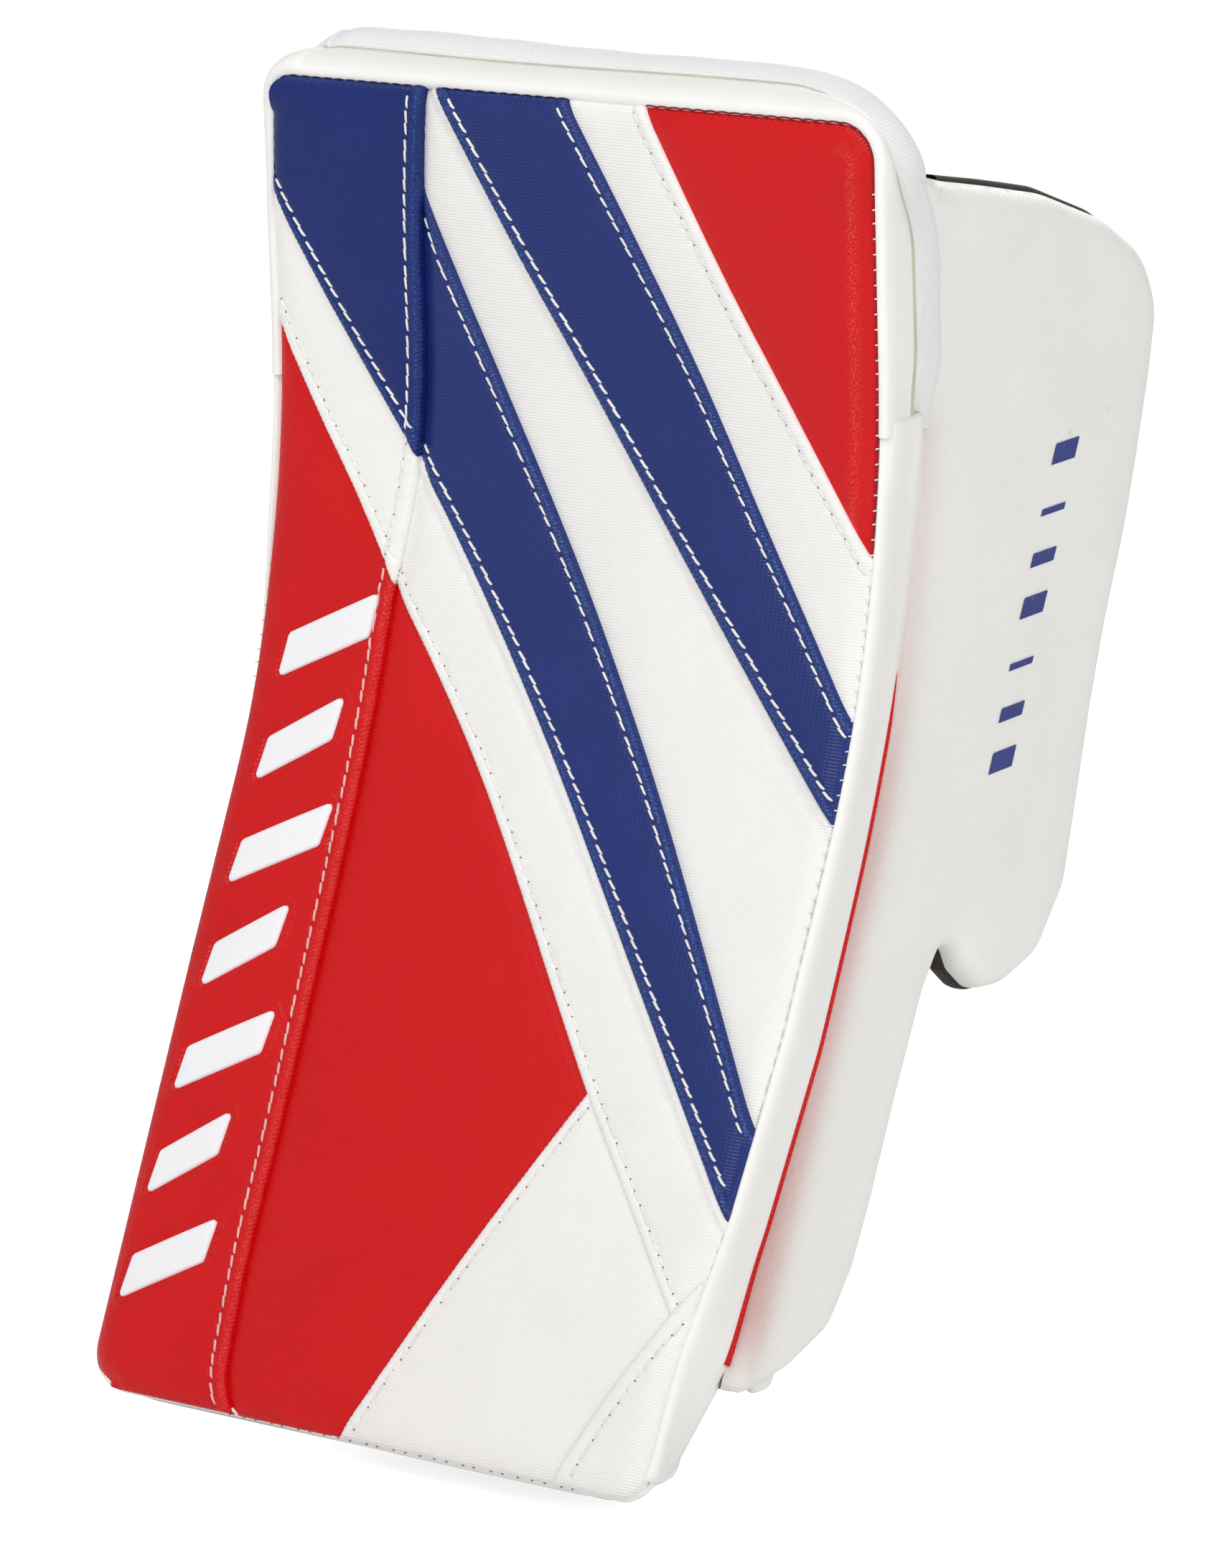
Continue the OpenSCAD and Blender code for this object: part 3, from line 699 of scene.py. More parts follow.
class Panel:
    """One panel of the front: bounds gives each seam it meets and the side of the seam it lies on."""

    # distances from a folded edge, from its stitch line, from a plain seam and from the outline,
    # at which the mesh has a row of points
    FOLD_ROWS = (0.12, 0.4, 0.8, 1.4, 2.0)
    STITCH_ROWS = (-0.9, -0.45, 0, 0.45, 0.9, 1.7, 3.0, 5.0)
    SEAM_ROWS = (-1.2, 0.3, 1.2, 2.0, 2.9, 4.4, 6.6, 9)
    RIM_ROWS = ((0.15, 1.5), (0.5, 1.5), (1.0, 1.7), (1.7, 1.8), (2.6, 2.0), (3.8, 2.2), (5.2, 2.4),
                (7.0, 2.6), (9.0, 2.8))
    BAR_ROWS = (-0.4, 0.3, 0.8, 1.4, 2.0, 2.6, 3.3)

    def __init__(self, key, material, level, bounds, folds=(), pillow=0.6, piped=(), embossed=False):
        self.key, self.material, self.level, self.bounds, self.folds = key, material, level, bounds, folds
        self.pillow, self.piped, self.embossed = pillow, piped, embossed
        self.node = key if key.startswith("stripe") else "skin_" + key
        self.slot = "leather_" + material.name.split("_")[0]

    def seam_relief(self, key, sd):
        """(height to add, share of the level to keep) at distance sd from one of the panel's seams."""
        d = np.maximum(sd, 0)
        if key in self.folds:
            flat = -roll(d, 0.9, 0.75)
            flat += 0.38 * (1 - smooth((sd - FRAY[key] + 0.5) / 1.2))
            flat -= 0.45 * ridge(sd, FRAY[key], 0.6)
            return flat, 1
        if key == "strip":
            return -1.0 * np.exp(-d / 1.6), smooth(sd / 7)
        if key in self.piped:
            return 0.6 * ridge(sd, 1.2, 0.75) - 0.3 * ridge(sd, 2.9, 0.9), 1
        return -0.25 * np.exp(-d / 1.5), 1

    def height(self, p):
        """How far the panel's surface stands out of the board's front face, in millimetres."""
        d_soft, d_bound = distance(p, SOFT_SIDES), distance(p, BOUND_SIDES)
        nearest_edge = np.minimum(d_soft, d_bound)
        level = np.full(len(p), float(self.level))
        extra = np.zeros(len(p))
        for key, side in self.bounds.items():
            sd = signed(p, SEAMS[key]) * side
            nearest_edge = np.minimum(nearest_edge, np.maximum(sd, 0))
            relief, share = self.seam_relief(key, sd)
            extra += relief
            level *= share
        h = level + extra + self.pillow * (1 - np.exp(-nearest_edge / 8))
        x, s = p[:, 0], p[:, 1]
        for bar in BARS if self.embossed else ():
            near = (np.abs(x - bar[:, 0].mean()) < 26) & (np.abs(s - bar[:, 1].mean()) < 26)
            if near.any():
                d = distance(p[near], closed(bar)) * np.where(inside(p[near], bar), -1, 1)
                h[near] += 0.42 * ridge(d, 2.0, 0.8) - 0.35 * ridge(d, 0.7, 0.6)
        wave = np.sin(x / 19 + s / 41 + self.level * 9) * np.sin(s / 27 - x / 53)
        h += 0.10 * wave * smooth(nearest_edge / 10)
        low = np.clip(smooth((240 - s) / 70) + (x > -60), 0, 1)
        return h - roll(d_soft, 8.5, 1.0) * (2.2 + 2.0 * low) - roll(d_bound, 6.5, 2.0)

    def edge_glint(self, p):
        """Strength of a painted highlight, 1 at its brightest: along a folded edge, and on red where it turns
        the right edge.
        """
        g = np.zeros(len(p))
        for key in self.folds:
            g = np.maximum(g, ridge(signed(p, SEAMS[key]) * self.bounds[key], 1.5, 0.55))
        if self.slot != "leather_red":
            return g
        x, s = p[:, 0], p[:, 1]
        turn = ridge(distance(p, BOUND_SIDES), 6.6, 1.5)
        return np.maximum(g, turn * smooth((x - 87) / 3) * smooth((s - 90) / 40) * smooth((362 - s) / 8))

    def within(self, p, spare=0.0):
        """True inside the outline and on the panel's side of its seams; a plain seam is overlapped by 3."""
        ok = inside(p, OUTLINE)
        for key, side in self.bounds.items():
            margin = 0.0 if key in self.folds else -3.0
            ok &= signed(p, SEAMS[key]) * side > margin + spare
        return ok

    def mesh_points(self):
        """Rows of points beside the outline, the seams and the bars, with an even field between them."""
        inner = []
        for d, step in self.RIM_ROWS:
            ring = resample(closed(OUTLINE - OUT_NORMALS * d), step)
            inner.append(ring[np.abs(distance(ring, LOOP) - d) < 0.25 * d + 0.05])
        for key, side in self.bounds.items():
            rows, step = self.SEAM_ROWS, 2.2
            if key in self.folds:
                rows, step = self.FOLD_ROWS + tuple(FRAY[key] + e for e in self.STITCH_ROWS), 1.7
            inner += [resample(shift(SEAMS[key], side * d), step) for d in rows]
        for bar in BARS if self.embossed else ():
            inner += [resample(closed(bar + outward(bar) * d), 1.6) for d in self.BAR_ROWS]
        inner = np.vstack(inner + [hexes(-100, 100, 0, FACE, 2.9)])
        inner = inner[self.within(inner, 0.1)]
        return spaced(inner[distance(inner, LOOP) > 0.1], 0.42)

    def build(self):
        points, edges, count = [OUTLINE], chain_edges(0, len(OUTLINE), True), len(OUTLINE)
        for key, side in self.bounds.items():
            edge = shift(SEAMS[key], 0.0 if key in self.folds else -3.0 * side)
            points.append(edge)
            edges += chain_edges(count, len(edge))
            count += len(edge)
        v, f = triangulate(np.vstack(points + [self.mesh_points()]), edges, self.within)
        ids, faces = skirted(f, len(v))
        top = surf(v[:, 0], v[:, 1], -self.height(v))
        skirt = surf(v[ids, 0], v[ids, 1], 2.6)
        glint = np.r_[self.edge_glint(v), np.zeros(len(ids))]
        uv = np.vstack([v, v[ids]]) * MM
        ob = mesh_object("panel_" + self.key, np.vstack([top, skirt]), faces, uv, {"glint": glint})
        finish_piece(ob, self.material, "board", [self.node])


PANELS = [
    Panel("blue_corner", BLUE_TWILL, 1.6, {"strip": -1, "corner": 1}, ("strip", "corner"), 1.0),
    Panel("white_strip", WHITE_TWILL, 1.1, {"strip": -1, "corner": -1, "red_strip": 1},
          ("strip", "red_strip")),
    Panel("red_strip", RED_TWILL, 0.6, {"strip": -1, "red_strip": -1}, ("strip",), 0.9, embossed=True),
    Panel("white_centre", WHITE_RIB, 0, {"strip": 1, "long_upper": 1, "short_lower": -1}, (), 0.7,
          piped=("short_lower",)),
    Panel("stripe_long", BLUE_RIB, 1.3, {"strip": 1, "long_upper": -1, "long_lower": 1},
          ("long_upper", "long_lower"), 0.5),
    Panel("stripe_short", BLUE_RIB, 1.3, {"short_upper": -1, "short_lower": 1},
          ("short_upper", "short_lower"), 0.5),
    Panel("white_upper", WHITE_RIB, 0.7, {"short_upper": 1, "red_corner": -1}, ("red_corner",)),
    Panel("red_corner", RED_TWILL, 0, {"red_corner": 1}, (), 1.0),
    Panel("white_lower", WHITE_RIB, 0.8, {"strip": 1, "long_lower": -1, "white_edge": 1, "patch": -1},
          ("white_edge",), piped=("long_lower",)),
    Panel("red_main", RED_TWILL, 0, {"strip": 1, "white_edge": -1, "bottom": -1}, (), 1.2),
    Panel("white_bottom", WHITE_RIB, 0.6, {"bottom": 1, "white_edge": -1, "patch": -1}, ("bottom",), 0.9),
    Panel("corner_patch", WHITE_RIB, 1.5, {"patch": 1}, ("patch",), 0.5),
]
for panel in PANELS:
    panel.build()


# ---- threads --------------------------------------------------------------------------
ALONG = np.array([0, 0.1, 0.3, 0.5, 0.7, 0.9, 1.0])
SINK = np.array([0.5, 0.12, 0.02, 0, 0.02, 0.12, 0.5])
THICK = np.array([0.6, 0.95, 1.05, 1.0, 1.05, 0.95, 0.6])
THREAD_SIDES = 6


def one_stitch(at, d, points, up, radius, slant, lift):
    """Rings of one stitch at the lengths at along the line, with sunken ends."""
    p, u = (np.stack([np.interp(at, d, q[:, j]) for j in range(3)], 1) for q in (points, up))
    u = unit(u)
    side = unit(np.cross(u[3], unit(p[-1] - p[0])))
    sway = (ALONG - 0.5) * slant + 0.12 * slant * np.sin(2 * math.pi * ALONG)
    p = p + side * sway[:, None] + u * (lift - SINK)[:, None]
    a = np.arange(THREAD_SIDES) * 2 * math.pi / THREAD_SIDES
    ring = (np.cos(a)[:, None] * side)[None] + np.sin(a)[None, :, None] * u[:, None, :]
    return (p[:, None, :] + ring * (radius * THICK)[:, None, None]).reshape(-1, 3)


def sew(name, lines, pitch, length, radius, slant, material, slot="lace_white", body="board", lift=0.16,
        phase=0.3, blend=None):
    """Stitches along lines, which are (points, up) pairs in upright millimetres, as one finished piece."""
    verts, faces = [], []
    rings = len(ALONG)
    last = (rings - 1) * THREAD_SIDES
    shape = grid_faces(rings, THREAD_SIDES, True)
    shape += [tuple(range(THREAD_SIDES))[::-1], tuple(last + i for i in range(THREAD_SIDES))]
    for points, up in lines:
        d = lengths(points)
        for k in range(int((d[-1] - length) / pitch) + 1):
            start = phase * pitch + k * pitch + 0.12 * pitch * math.sin(k * 2.7)
            if start + length > d[-1]:
                break
            faces += moved(shape, len(verts))
            verts += list(one_stitch(start + ALONG * length, d, points, up, radius, slant, lift))
    return turned_piece(name, np.array(verts), faces, material, body, (), blend)


def lay(panel, line, keep):
    """A line on a panel's surface as (points, up) stretches where keep is true."""
    p = resample(line, 0.6)
    ok = np.r_[False, keep(p), False]
    h = panel.height(p)
    pts = surf(p[:, 0], p[:, 1], -h)
    up = surf(p[:, 0], p[:, 1], -h - 1) - pts
    turns = np.nonzero(ok[1:] != ok[:-1])[0].reshape(-1, 2)
    return [(pts[a:b], up[a:b]) for a, b in turns if b - a > 8]


def clear_of(panel, fold, edge=0.9):
    """A test for the points of a panel away from its other seams and the board's outline."""
    def test(p):
        ok = inside(p, OUTLINE) & (distance(p, LOOP) > edge)
        for key, side in panel.bounds.items():
            if key != fold:
                ok &= signed(p, SEAMS[key]) * side > (0.8 if key in panel.folds else 0.2)
        return ok
    return test


STITCH_PITCH = 3.8
for panel in PANELS:
    for fold in panel.folds:
        row = lay(panel, shift(SEAMS[fold], panel.bounds[fold] * FRAY[fold]), clear_of(panel, fold))
        colour = THREAD_PINK if panel.key == "red_strip" else THREAD
        sew(f"stitches_{panel.key}_{fold}", row, STITCH_PITCH, 3.7, 0.41, 0.85, colour)
        # painted shade: short grey marks for the dark needle holes beside the stitches on white panels
        if panel.slot == "leather_white":
            sew(f"holes_{panel.key}_{fold}", row, STITCH_PITCH, 0.6, 0.24, 0.0, THREAD_HOLE, "lining_dark",
                lift=0.12, phase=0.2)


# ---- raised bars on the strip ---------------------------------------------------------
def build_bars():
    verts, faces, uvs = [], [], []
    strip = next(panel for panel in PANELS if panel.embossed)
    for shape in BARS:
        out = outward(shape)
        rows = [shape + out * d for d in (0.25, 0, -0.4, -0.9)]
        inner = hexes(-100, -50, shape[:, 1].min(), shape[:, 1].max(), 2.4)
        inner = inner[inside(inner, shape) & (distance(inner, closed(shape)) > 1.6)]
        v, f = fill(rows[0], np.vstack(rows[1:] + [inner]))
        h = strip.height(v) + 0.35 + 0.45 * (1 - np.exp(-distance(v, closed(rows[0])) / 0.35))
        ids, more = skirted(f, len(v))
        flare = v[ids] + unit(v[ids] - v.mean(0)) * 0.25
        faces += moved(more, sum(len(x) for x in verts))
        foot = surf(flare[:, 0], flare[:, 1], 0.5 - strip.height(flare))
        verts.append(np.vstack([surf(v[:, 0], v[:, 1], -h), foot]))
        uvs.append(np.vstack([v, flare]) * MM)
    ob = mesh_object("emblem_bars", np.vstack(verts), faces, np.vstack(uvs))
    finish_piece(ob, EMBLEM, "board", ["strip_bars"])


build_bars()


# ---- bindings round the board ---------------------------------------------------------
def top_share(p, normal):
    """0 on the board's sides, 1 along its top and bottom; at the top it turns over the wide corners."""
    rise = np.abs(normal[:, 1])
    for x, side, r in ((RIGHT, 1, 25.0), (LEFT, -1, 18.0)):
        dx, dy = (p[:, 0] - x) * side + r, np.maximum(p[:, 1] - FACE + r, 0)
        near = (dx > 0) & (p[:, 1] > 250)
        rise = np.where(near, dy / np.maximum(np.hypot(np.maximum(dx, 0), dy), 1e-6), rise)
    return smooth((rise - 0.15) / 0.8)


def round_corner(q, o, depth, x, small, wide, lean):
    """Turns points o outside the outline round a top corner, whose radius grows with depth to wide."""
    side = 1 if x > 0 else -1
    r = small + (wide - small) * smooth(depth / 15)
    centre = np.stack([x - r * side, FACE - r], -1)
    d = q - centre
    length = np.maximum(np.linalg.norm(d, axis=-1), 1e-6)
    reach = r + o + lean * r * (d[..., 0] / length) ** 2
    within = (d[..., 0] * side > 0) & (d[..., 1] > 0)
    return np.where(within[..., None], centre + d * (reach / length)[..., None], q)


RIGHT_WIDE, LEFT_WIDE = 37.0, 15.0      # the top corners' radii from 15 behind the face on
LEFT_LEAN = 0.032                       # the left one's lean outwards, as a share of its radius


def round_corners(q, o, depth):
    """Turns points o outside the outline round both top corners."""
    q = round_corner(q, o, depth, RIGHT, RIGHT_TURN, RIGHT_WIDE, 0.0)
    return round_corner(q, o, depth, LEFT, LEFT_TURN, LEFT_WIDE, LEFT_LEAN)


def even_profile(corners, count):
    """A smooth section through the corners, as count points in even steps."""
    q = spline(corners, 0.3)
    return resample(q, lengths(q)[-1] / (count - 1) * 0.9999)[:count]


def sweep(name, place, profiles, nodes=(), material=WHITE_SOFT, count=26, scallop=0.0, ease=(0, 0),
          ease_by=1.0, adjust=None):
    """Carries an (outward, depth) profile along the outline between two places.

    Of two profiles, the first is for the sides and the second for the top and bottom. Scallop is the height
    of the small waves on its first edge, ease the lengths over which its ends turn down by ease_by, and
    adjust(o, n, p, arc) changes the outward distances o and depths n at the outline's points p.
    """
    i = stretch(*place)
    dense = resample(np.hstack([OUTLINE[i], OUT_NORMALS[i]]), 0.75)
    p, normal = dense[:, :2], unit(dense[:, 2:])
    arc = np.linspace(0, lengths(OUTLINE[i])[-1], len(p))
    side, top = (even_profile(corners, count) for corners in (profiles[0], profiles[-1]))
    share = top_share(p, normal)[:, None, None]
    prof = side[None] * (1 - share) + top[None] * share
    o, n = prof[:, :, 0], prof[:, :, 1]
    if scallop:
        wave = np.abs(np.sin(math.pi * arc / 3.7)) - 0.5
        o += scallop * wave[:, None] * np.exp(-np.arange(count) / 1.6)
    if adjust:
        o, n = adjust(o, n, p, arc)
    for x, length in zip((arc, arc[-1] - arc), ease):
        if length:
            o -= roll(x, length, ease_by)[:, None]
    q = round_corners(p[:, None, :] + normal[:, None, :] * o[:, :, None], o, n)
    verts = surf(q[..., 0], q[..., 1], n).reshape(-1, 3)
    ob = mesh_object(name, verts, grid_faces(len(p), count), grid_uv(arc, lengths(side)))
    return finish_piece(ob, material, "board", nodes)


BAND = 280.0            # up the face, where the rolled binding gives way to the smooth wrap
OVERLOCK_PITCH = 3.9    # between the stitches of the edge's overlock seam


def heel_cut(x, s, n):
    """Towards the lower right corner the board's rear draws in, so its side narrows to nothing."""
    return 0.5 * smooth((44 - s) / 44) * smooth((x - 66) / 22) * np.maximum(n - 2.5, 0)


def side_cut(x, s, n):
    """The board's right side slants in towards the back, by an amount that varies a little along it."""
    slope = 0.165 + 0.05 * ridge(s, 195, 35) - 0.07 * smooth((s - 235) / 45)
    slope *= smooth((x - 84) / 7) * smooth((s - 36) / 40) * smooth((302 - s) / 16)
    return slope * np.maximum(n - 4, 0)


def shape_binding(o, n, p, arc):
    """A soft wave along the roll, drawn in lower down, and fuller near the top left corner."""
    x, s = p[:, :1], p[:, 1:]
    deep = smooth(n / 12)
    o = o + 0.25 * np.sin(x / 21 + s / 30) * deep
    o -= 1.4 * smooth((304 - s) / 18) * (x > 0) * deep
    o -= 0.5 * smooth((330 - s) / 50) * (x < 0) * deep
    o += 1.0 * ridge(s, 356, 17) * (x < -90) * smooth(o / 2.5)
    return o, n


def shape_mesh(o, n, p, arc):
    """Fuller over the left half of the top, thinner down the sides."""
    x, s, arc = p[:, :1], p[:, 1:], arc[:, None]
    top = smooth((s - 330) / 30)
    full = 1.0 + 0.36 * ridge(x, -52, 36) - 0.25 * smooth((x - 20) / 70) - 0.25 * smooth((-80 - x) / 18)
    full = full * top + (1 - top) * (0.5 + 0.4 * smooth((s - 290) / 40))
    seam = 6.0 * top + 3.0 * (1 - top)
    o, n = shape_binding(o + np.maximum(o - seam, 0) * (full - 1), n, p, arc)
    behind = smooth((n - 9) / 6)
    o -= 2.2 * smooth((298 - s) / 14) * behind * (x > 0)
    o -= 1.8 * smooth((292 - s) / 12) * behind * (x < 0)
    o += 0.22 * np.sin(arc / 6.1) * np.sin(arc / 15) * smooth((n - 13) / 5)
    return o, n


def narrow_wrap(o, n, p, arc):
    """Towards the bottom corner the wrap reaches less far round, and the band shows behind it."""
    x, s = p[:, :1], p[:, 1:]
    lower = np.minimum(n, 3) + np.maximum(n - 3, 0) * (0.45 + 0.55 * smooth((s + 8) / 56))
    o = o + 1.2 * smooth((s - 262) / 20) * smooth(n / 4)
    return o - heel_cut(x, s, lower) - side_cut(x, s, lower), lower


def lip_fade(o, n, p, arc):
    """The lip stands out from the top down to about mid height on the left, and a little along the bottom."""
    x, s = p[:, :1], p[:, 1:]
    left = smooth((s - 182) / 70) * (x < 0)
    low = smooth((16 - s) / 14)
    o = o + 0.9 * left - 1.5 * (1 - np.maximum(left, low)) - heel_cut(x, s, n)
    return o - (1.0 + 0.6 * smooth((30 - x) / 80)) * low, n - 2.4 * left


def band_fill(o, n, p, arc):
    """The band fills out on the upper left, and lies under the wrap on the right and the lip below."""
    x, s = p[:, :1], p[:, 1:]
    left = smooth((s - 182) / 70) * (x < 0)
    right = smooth((x - 84) / 7) * smooth((s - 12) / 20)
    o = o + 1.0 * left - 0.9 * right - 1.7 * smooth((16 - s) / 14)
    return o - heel_cut(x, s, n) - side_cut(x, s, n), n


TOP_RIGHT, TOP_LEFT = (99.3, BAND + 2), (-100, BAND - 2)
sweep("binding_top_roll", (TOP_RIGHT, (-100, BAND - 1)),
      [[(-0.9, 2.8), (-0.2, 0.8), (1.0, -0.2), (2.4, 0.3), (3.2, 2.6), (3.2, 7), (3.0, 12.2)],
       [(-0.9, 2.6), (0.1, 0.5), (2.0, 0.1), (4.6, 2.8), (6.0, 8), (6.1, 13)]],
      ["binding_top"], scallop=0.3, adjust=shape_binding)
sweep("mesh_roll", (TOP_RIGHT, TOP_LEFT),
      [[(2.2, 10.5), (2.9, 12.4), (3.6, 15), (4.0, 19), (3.4, 24), (0.5, 27), (-4, 27.4), (-7.5, 25.0)],
       [(5.0, 11.0), (6.0, 13.2), (7.6, 14.6), (9.4, 18), (9.8, 22), (8.2, 26), (3, 28.2), (-7, 25.0)]],
      ["mesh_edge"], MESH_WHITE, count=34, adjust=shape_mesh)
sweep("wrap_right_cover", ((92.4, 4.5), (99.3, BAND + 6)),
      [[(-0.9, 2.6), (-0.3, 1.1), (0.6, 0.5), (1.7, 1.8), (2.3, 5), (2.4, 12), (2.0, 18.2), (0.8, 19.8)]],
      ["wrap_right"], scallop=0.2, ease=(3.0, 1.2), ease_by=1.3, adjust=narrow_wrap)
sweep("binding_low_lip", ((-100, BAND + 2), (92.6, 20)),
      [[(-1.6, 5.0), (-0.3, 3.9), (0.9, 3.1), (1.9, 3.9), (2.2, 6.2), (1.7, 7.8)],
       [(-1.2, 3.4), (-0.4, 1.7), (0.5, 1.2), (1.4, 2.1), (1.9, 4.6), (1.6, 7.8)]],
      ["binding_low"], count=20, ease=(1.6, 0), ease_by=0.8, adjust=lip_fade)
sweep("edge_band_roll", ((-100, BAND + 2), TOP_RIGHT),
      [[(0.2, 5.0), (1.2, 6.6), (1.6, 9), (1.7, 15), (1.6, 21), (0.6, 24.2), (-5, 25.1)]],
      ["edge_band_low"], adjust=band_fill)


def cord(name, path, radius, material, nodes=(), sides=10):
    """A round cord along upright points, with closed ends, as a finished piece of the board."""
    p = np.asarray(path, float)
    t = unit(np.gradient(p, axis=0))
    u = unit(np.cross(t[0], (0.31, 0.2, 0.93)))
    a = np.arange(sides) * 2 * math.pi / sides
    rings = []
    for place, ahead in zip(p, t):
        u = unit(u - ahead * (u @ ahead))
        rings.append(place + radius * (np.cos(a)[:, None] * u + np.sin(a)[:, None] * np.cross(ahead, u)))
    faces = grid_faces(len(p), sides, True)
    faces += [tuple(range(sides))[::-1], tuple((len(p) - 1) * sides + k for k in range(sides))]
    return turned_piece(name, np.vstack(rings), faces, material, "board", nodes,
                        uv=grid_uv(lengths(p), a * radius))


def outline_run(a, b, o, n, step=1.0, wave=0.0):
    """A line along the outline between two places, with scallops of that height; also its flat points,
    their outward normals and the length along it."""
    i = stretch(a, b)
    dense = resample(np.hstack([OUTLINE[i], OUT_NORMALS[i]]), step)
    q, w = dense[:, :2], unit(dense[:, 2:])
    arc = lengths(q)
    q = q + w * np.reshape(o + wave * (np.abs(np.sin(math.pi * arc / OVERLOCK_PITCH)) - 0.5), (-1, 1))
    return surf(q[:, 0], q[:, 1], n), q, w, arc


def build_piping():
    """The red cord up the right side, behind the wrap."""
    depth = 20.8
    run, q, _, _ = outline_run((91.4, 41), (99.3, BAND - 12), 0.0, depth, 1.2)
    run[:, 0] += 0.5 - 2.0 * smooth((q[:, 1] - 204) / 36) - side_cut(q[:, 0], q[:, 1], depth)
    cord("piping_cord", run, 1.2, RED_TWILL, ["red_piping"])


build_piping()
sweep("mesh_seam", (TOP_RIGHT, TOP_LEFT),
      [[(2.9, 12.0), (3.25, 12.5), (3.3, 13.1), (3.0, 13.6)],
       [(5.8, 12.6), (6.35, 13.0), (6.6, 13.6), (6.3, 14.2)]],
      material=THREAD_GREEN, count=6, adjust=shape_binding)

# painted shadow in the gap under the binding: dark scalloped cords beside the blue and red panels
for name, a, b, material, radius, wave in (
        ("red_top", (98.5, 357), (27, FACE), PAINTED_SHADOW_RED, 0.26, 0.35),
        ("blue_top", (1.7, FACE), (-42, FACE), PAINTED_SHADOW_NAVY, 0.2, 0.35),
        ("corner_top", (-46.5, FACE), (-97.5, 358), PAINTED_SHADOW_NAVY, 0.2, 0.35),
        ("corner_left", (-98.1, 355), (-99.6, 332), PAINTED_SHADOW_NAVY, 0.15, 0.15),
        ("red_right", (99.3, 251), (98.9, 356), PAINTED_SHADOW_RED, 0.2, 0.15)):
    run = outline_run(a, b, 0.0, 0.45, 0.5, wave)[0]
    cord(f"overlock_{name}", run, radius, material, sides=6)


def edge_ticks(name, a, b, n, length=1.1, radius=0.2):
    """Small loops of thread across the edge."""
    _, q, w, arc = outline_run(a, b, 0.0, n, 0.5)
    lines = []
    for k in range(1, int(arc[-1] / OVERLOCK_PITCH)):
        i = int(np.argmin(np.abs(arc - k * OVERLOCK_PITCH)))
        line = np.array([q[i] - w[i] * length * 0.6, q[i], q[i] + w[i] * length * 0.5])
        p = surf(line[:, 0], line[:, 1], np.array([n - 0.1, n - 0.35, n - 0.1]))
        lines.append((p, np.tile(surf(*q[i], n - 1) - surf(*q[i], n), (3, 1))))
    sew(name, lines, 50, length * 0.98, radius, 0.3, THREAD, lift=0.15, phase=0)


def build_edge_threads():
    """Threads of the edge's overlock seam, and grey marks along the lower lip that paint the shade of its
    needle holes.
    """
    depth = 1.1
    run, q, _, _ = outline_run((91.5, 5), (99.3, 249), -0.15, depth, 0.6)
    up = surf(q[:, 0], q[:, 1], depth - 1) - run
    sew("edge_thread_right", [(run, up)], OVERLOCK_PITCH, 3.5, 0.2, 0.15, THREAD_GREEN, lift=0.1)
    run = outline_run((-48, 0), (70, 0), 0.2, 1.15, 0.6)[0]
    down = np.tile([0, -1.0, 0], (len(run), 1))
    # painted shade: grey marks for the dark needle holes along the lip
    sew("lip_holes", [(run, down)], 4.6, 0.5, 0.18, 0.0, THREAD_HOLE, "lining_dark", lift=0.12)
    edge_ticks("edge_ticks_right", (99.3, 150), (99.0, 352), 0.5)
    edge_ticks("edge_ticks_left", (-100, 334), (-99.2, 192), 1.4, 0.8, 0.16)


build_edge_threads()


# ---- the board's inside and back ------------------------------------------------------
def inset(d, depth):
    """The outline drawn in by d, and by more at the corners where the board is narrower at that depth."""
    x, s = OUTLINE.T
    level = np.full(len(OUTLINE), float(depth))
    o = -d - heel_cut(x, s, level) - side_cut(x, s, level)
    q = round_corners(OUTLINE + OUT_NORMALS * o[:, None], o, level)
    return q[distance(q, LOOP) > 0.7 * d]


def slab(name, n0, n1, d, material, node, pitch=7.0, bulge=0.0):
    """A slab of the board between two depths, with its border softened."""
    border = resample(closed(inset(d, n1)), 3.0)[:-1]
    inner = hexes(-100, 100, 0, FACE, pitch)
    inner = inner[inside(inner, border) & (distance(inner, closed(border)) > pitch * 0.5)]
    v, f = fill(border, inner)
    rear = n1 + bulge * smooth(distance(v, closed(border)) / 20)
    verts = np.vstack([surf(v[:, 0], v[:, 1], n0), surf(v[:, 0], v[:, 1], rear)])
    ob = mesh_object(name, verts, doubled(f, len(v)), np.vstack([v, v]) * MM, flat=True)
    return finish_piece(ob, material, "board", [node])


slab("foam_front_slab", 4.9, 11.95, 5, FOAM, "front_foam")
slab("foam_rear_slab", 13.3, 23.6, 5, FOAM, "rear_foam")
slab("back_cloth", 23.8, 25.0, 4.5, NYLON, "board_back", 5.0, 0.4)


# ---- the sidewall ---------------------------------------------------------------------
# corners of the free edge in (y, z) with their radii, from the top down to the bottom
WALL = [(-10, 350.5, 6), (8, 355, 30), (34, 361, 40), (63, 363.5, 30), (84, 361, 24), (96.8, 350, 20),
        (101, 332, 30), (104.6, 309, 60), (107, 290, 60), (108.5, 262, 60), (111, 240, 80), (115, 215, 60),
        (118.4, 192, 9), (113, 171, 14), (100.5, 160, 14), (90, 156, 9), (79.5, 159, 5), (73.5, 164, 4.2),
        (67, 163, 6), (64.3, 150, 14), (63.6, 120, 60), (63.6, 92, 60), (62.5, 74, 22), (58, 57, 12),
        (44.5, 44.0, 14), (29, 34.5, 3.0)]
ROOT_N = 21.5       # depth behind the face where the wall's skin meets the board
# the ends of the line in (y, z) on which the wall would bend, and how far behind it the bend would begin and
# be full; the points are worked out, but nothing bends the wall
AXIS_A, AXIS_B = np.array([38.0, 34.0]), np.array([-15.0, 349.0])
BEND_FROM, BEND_TO = 1.0, 30.0


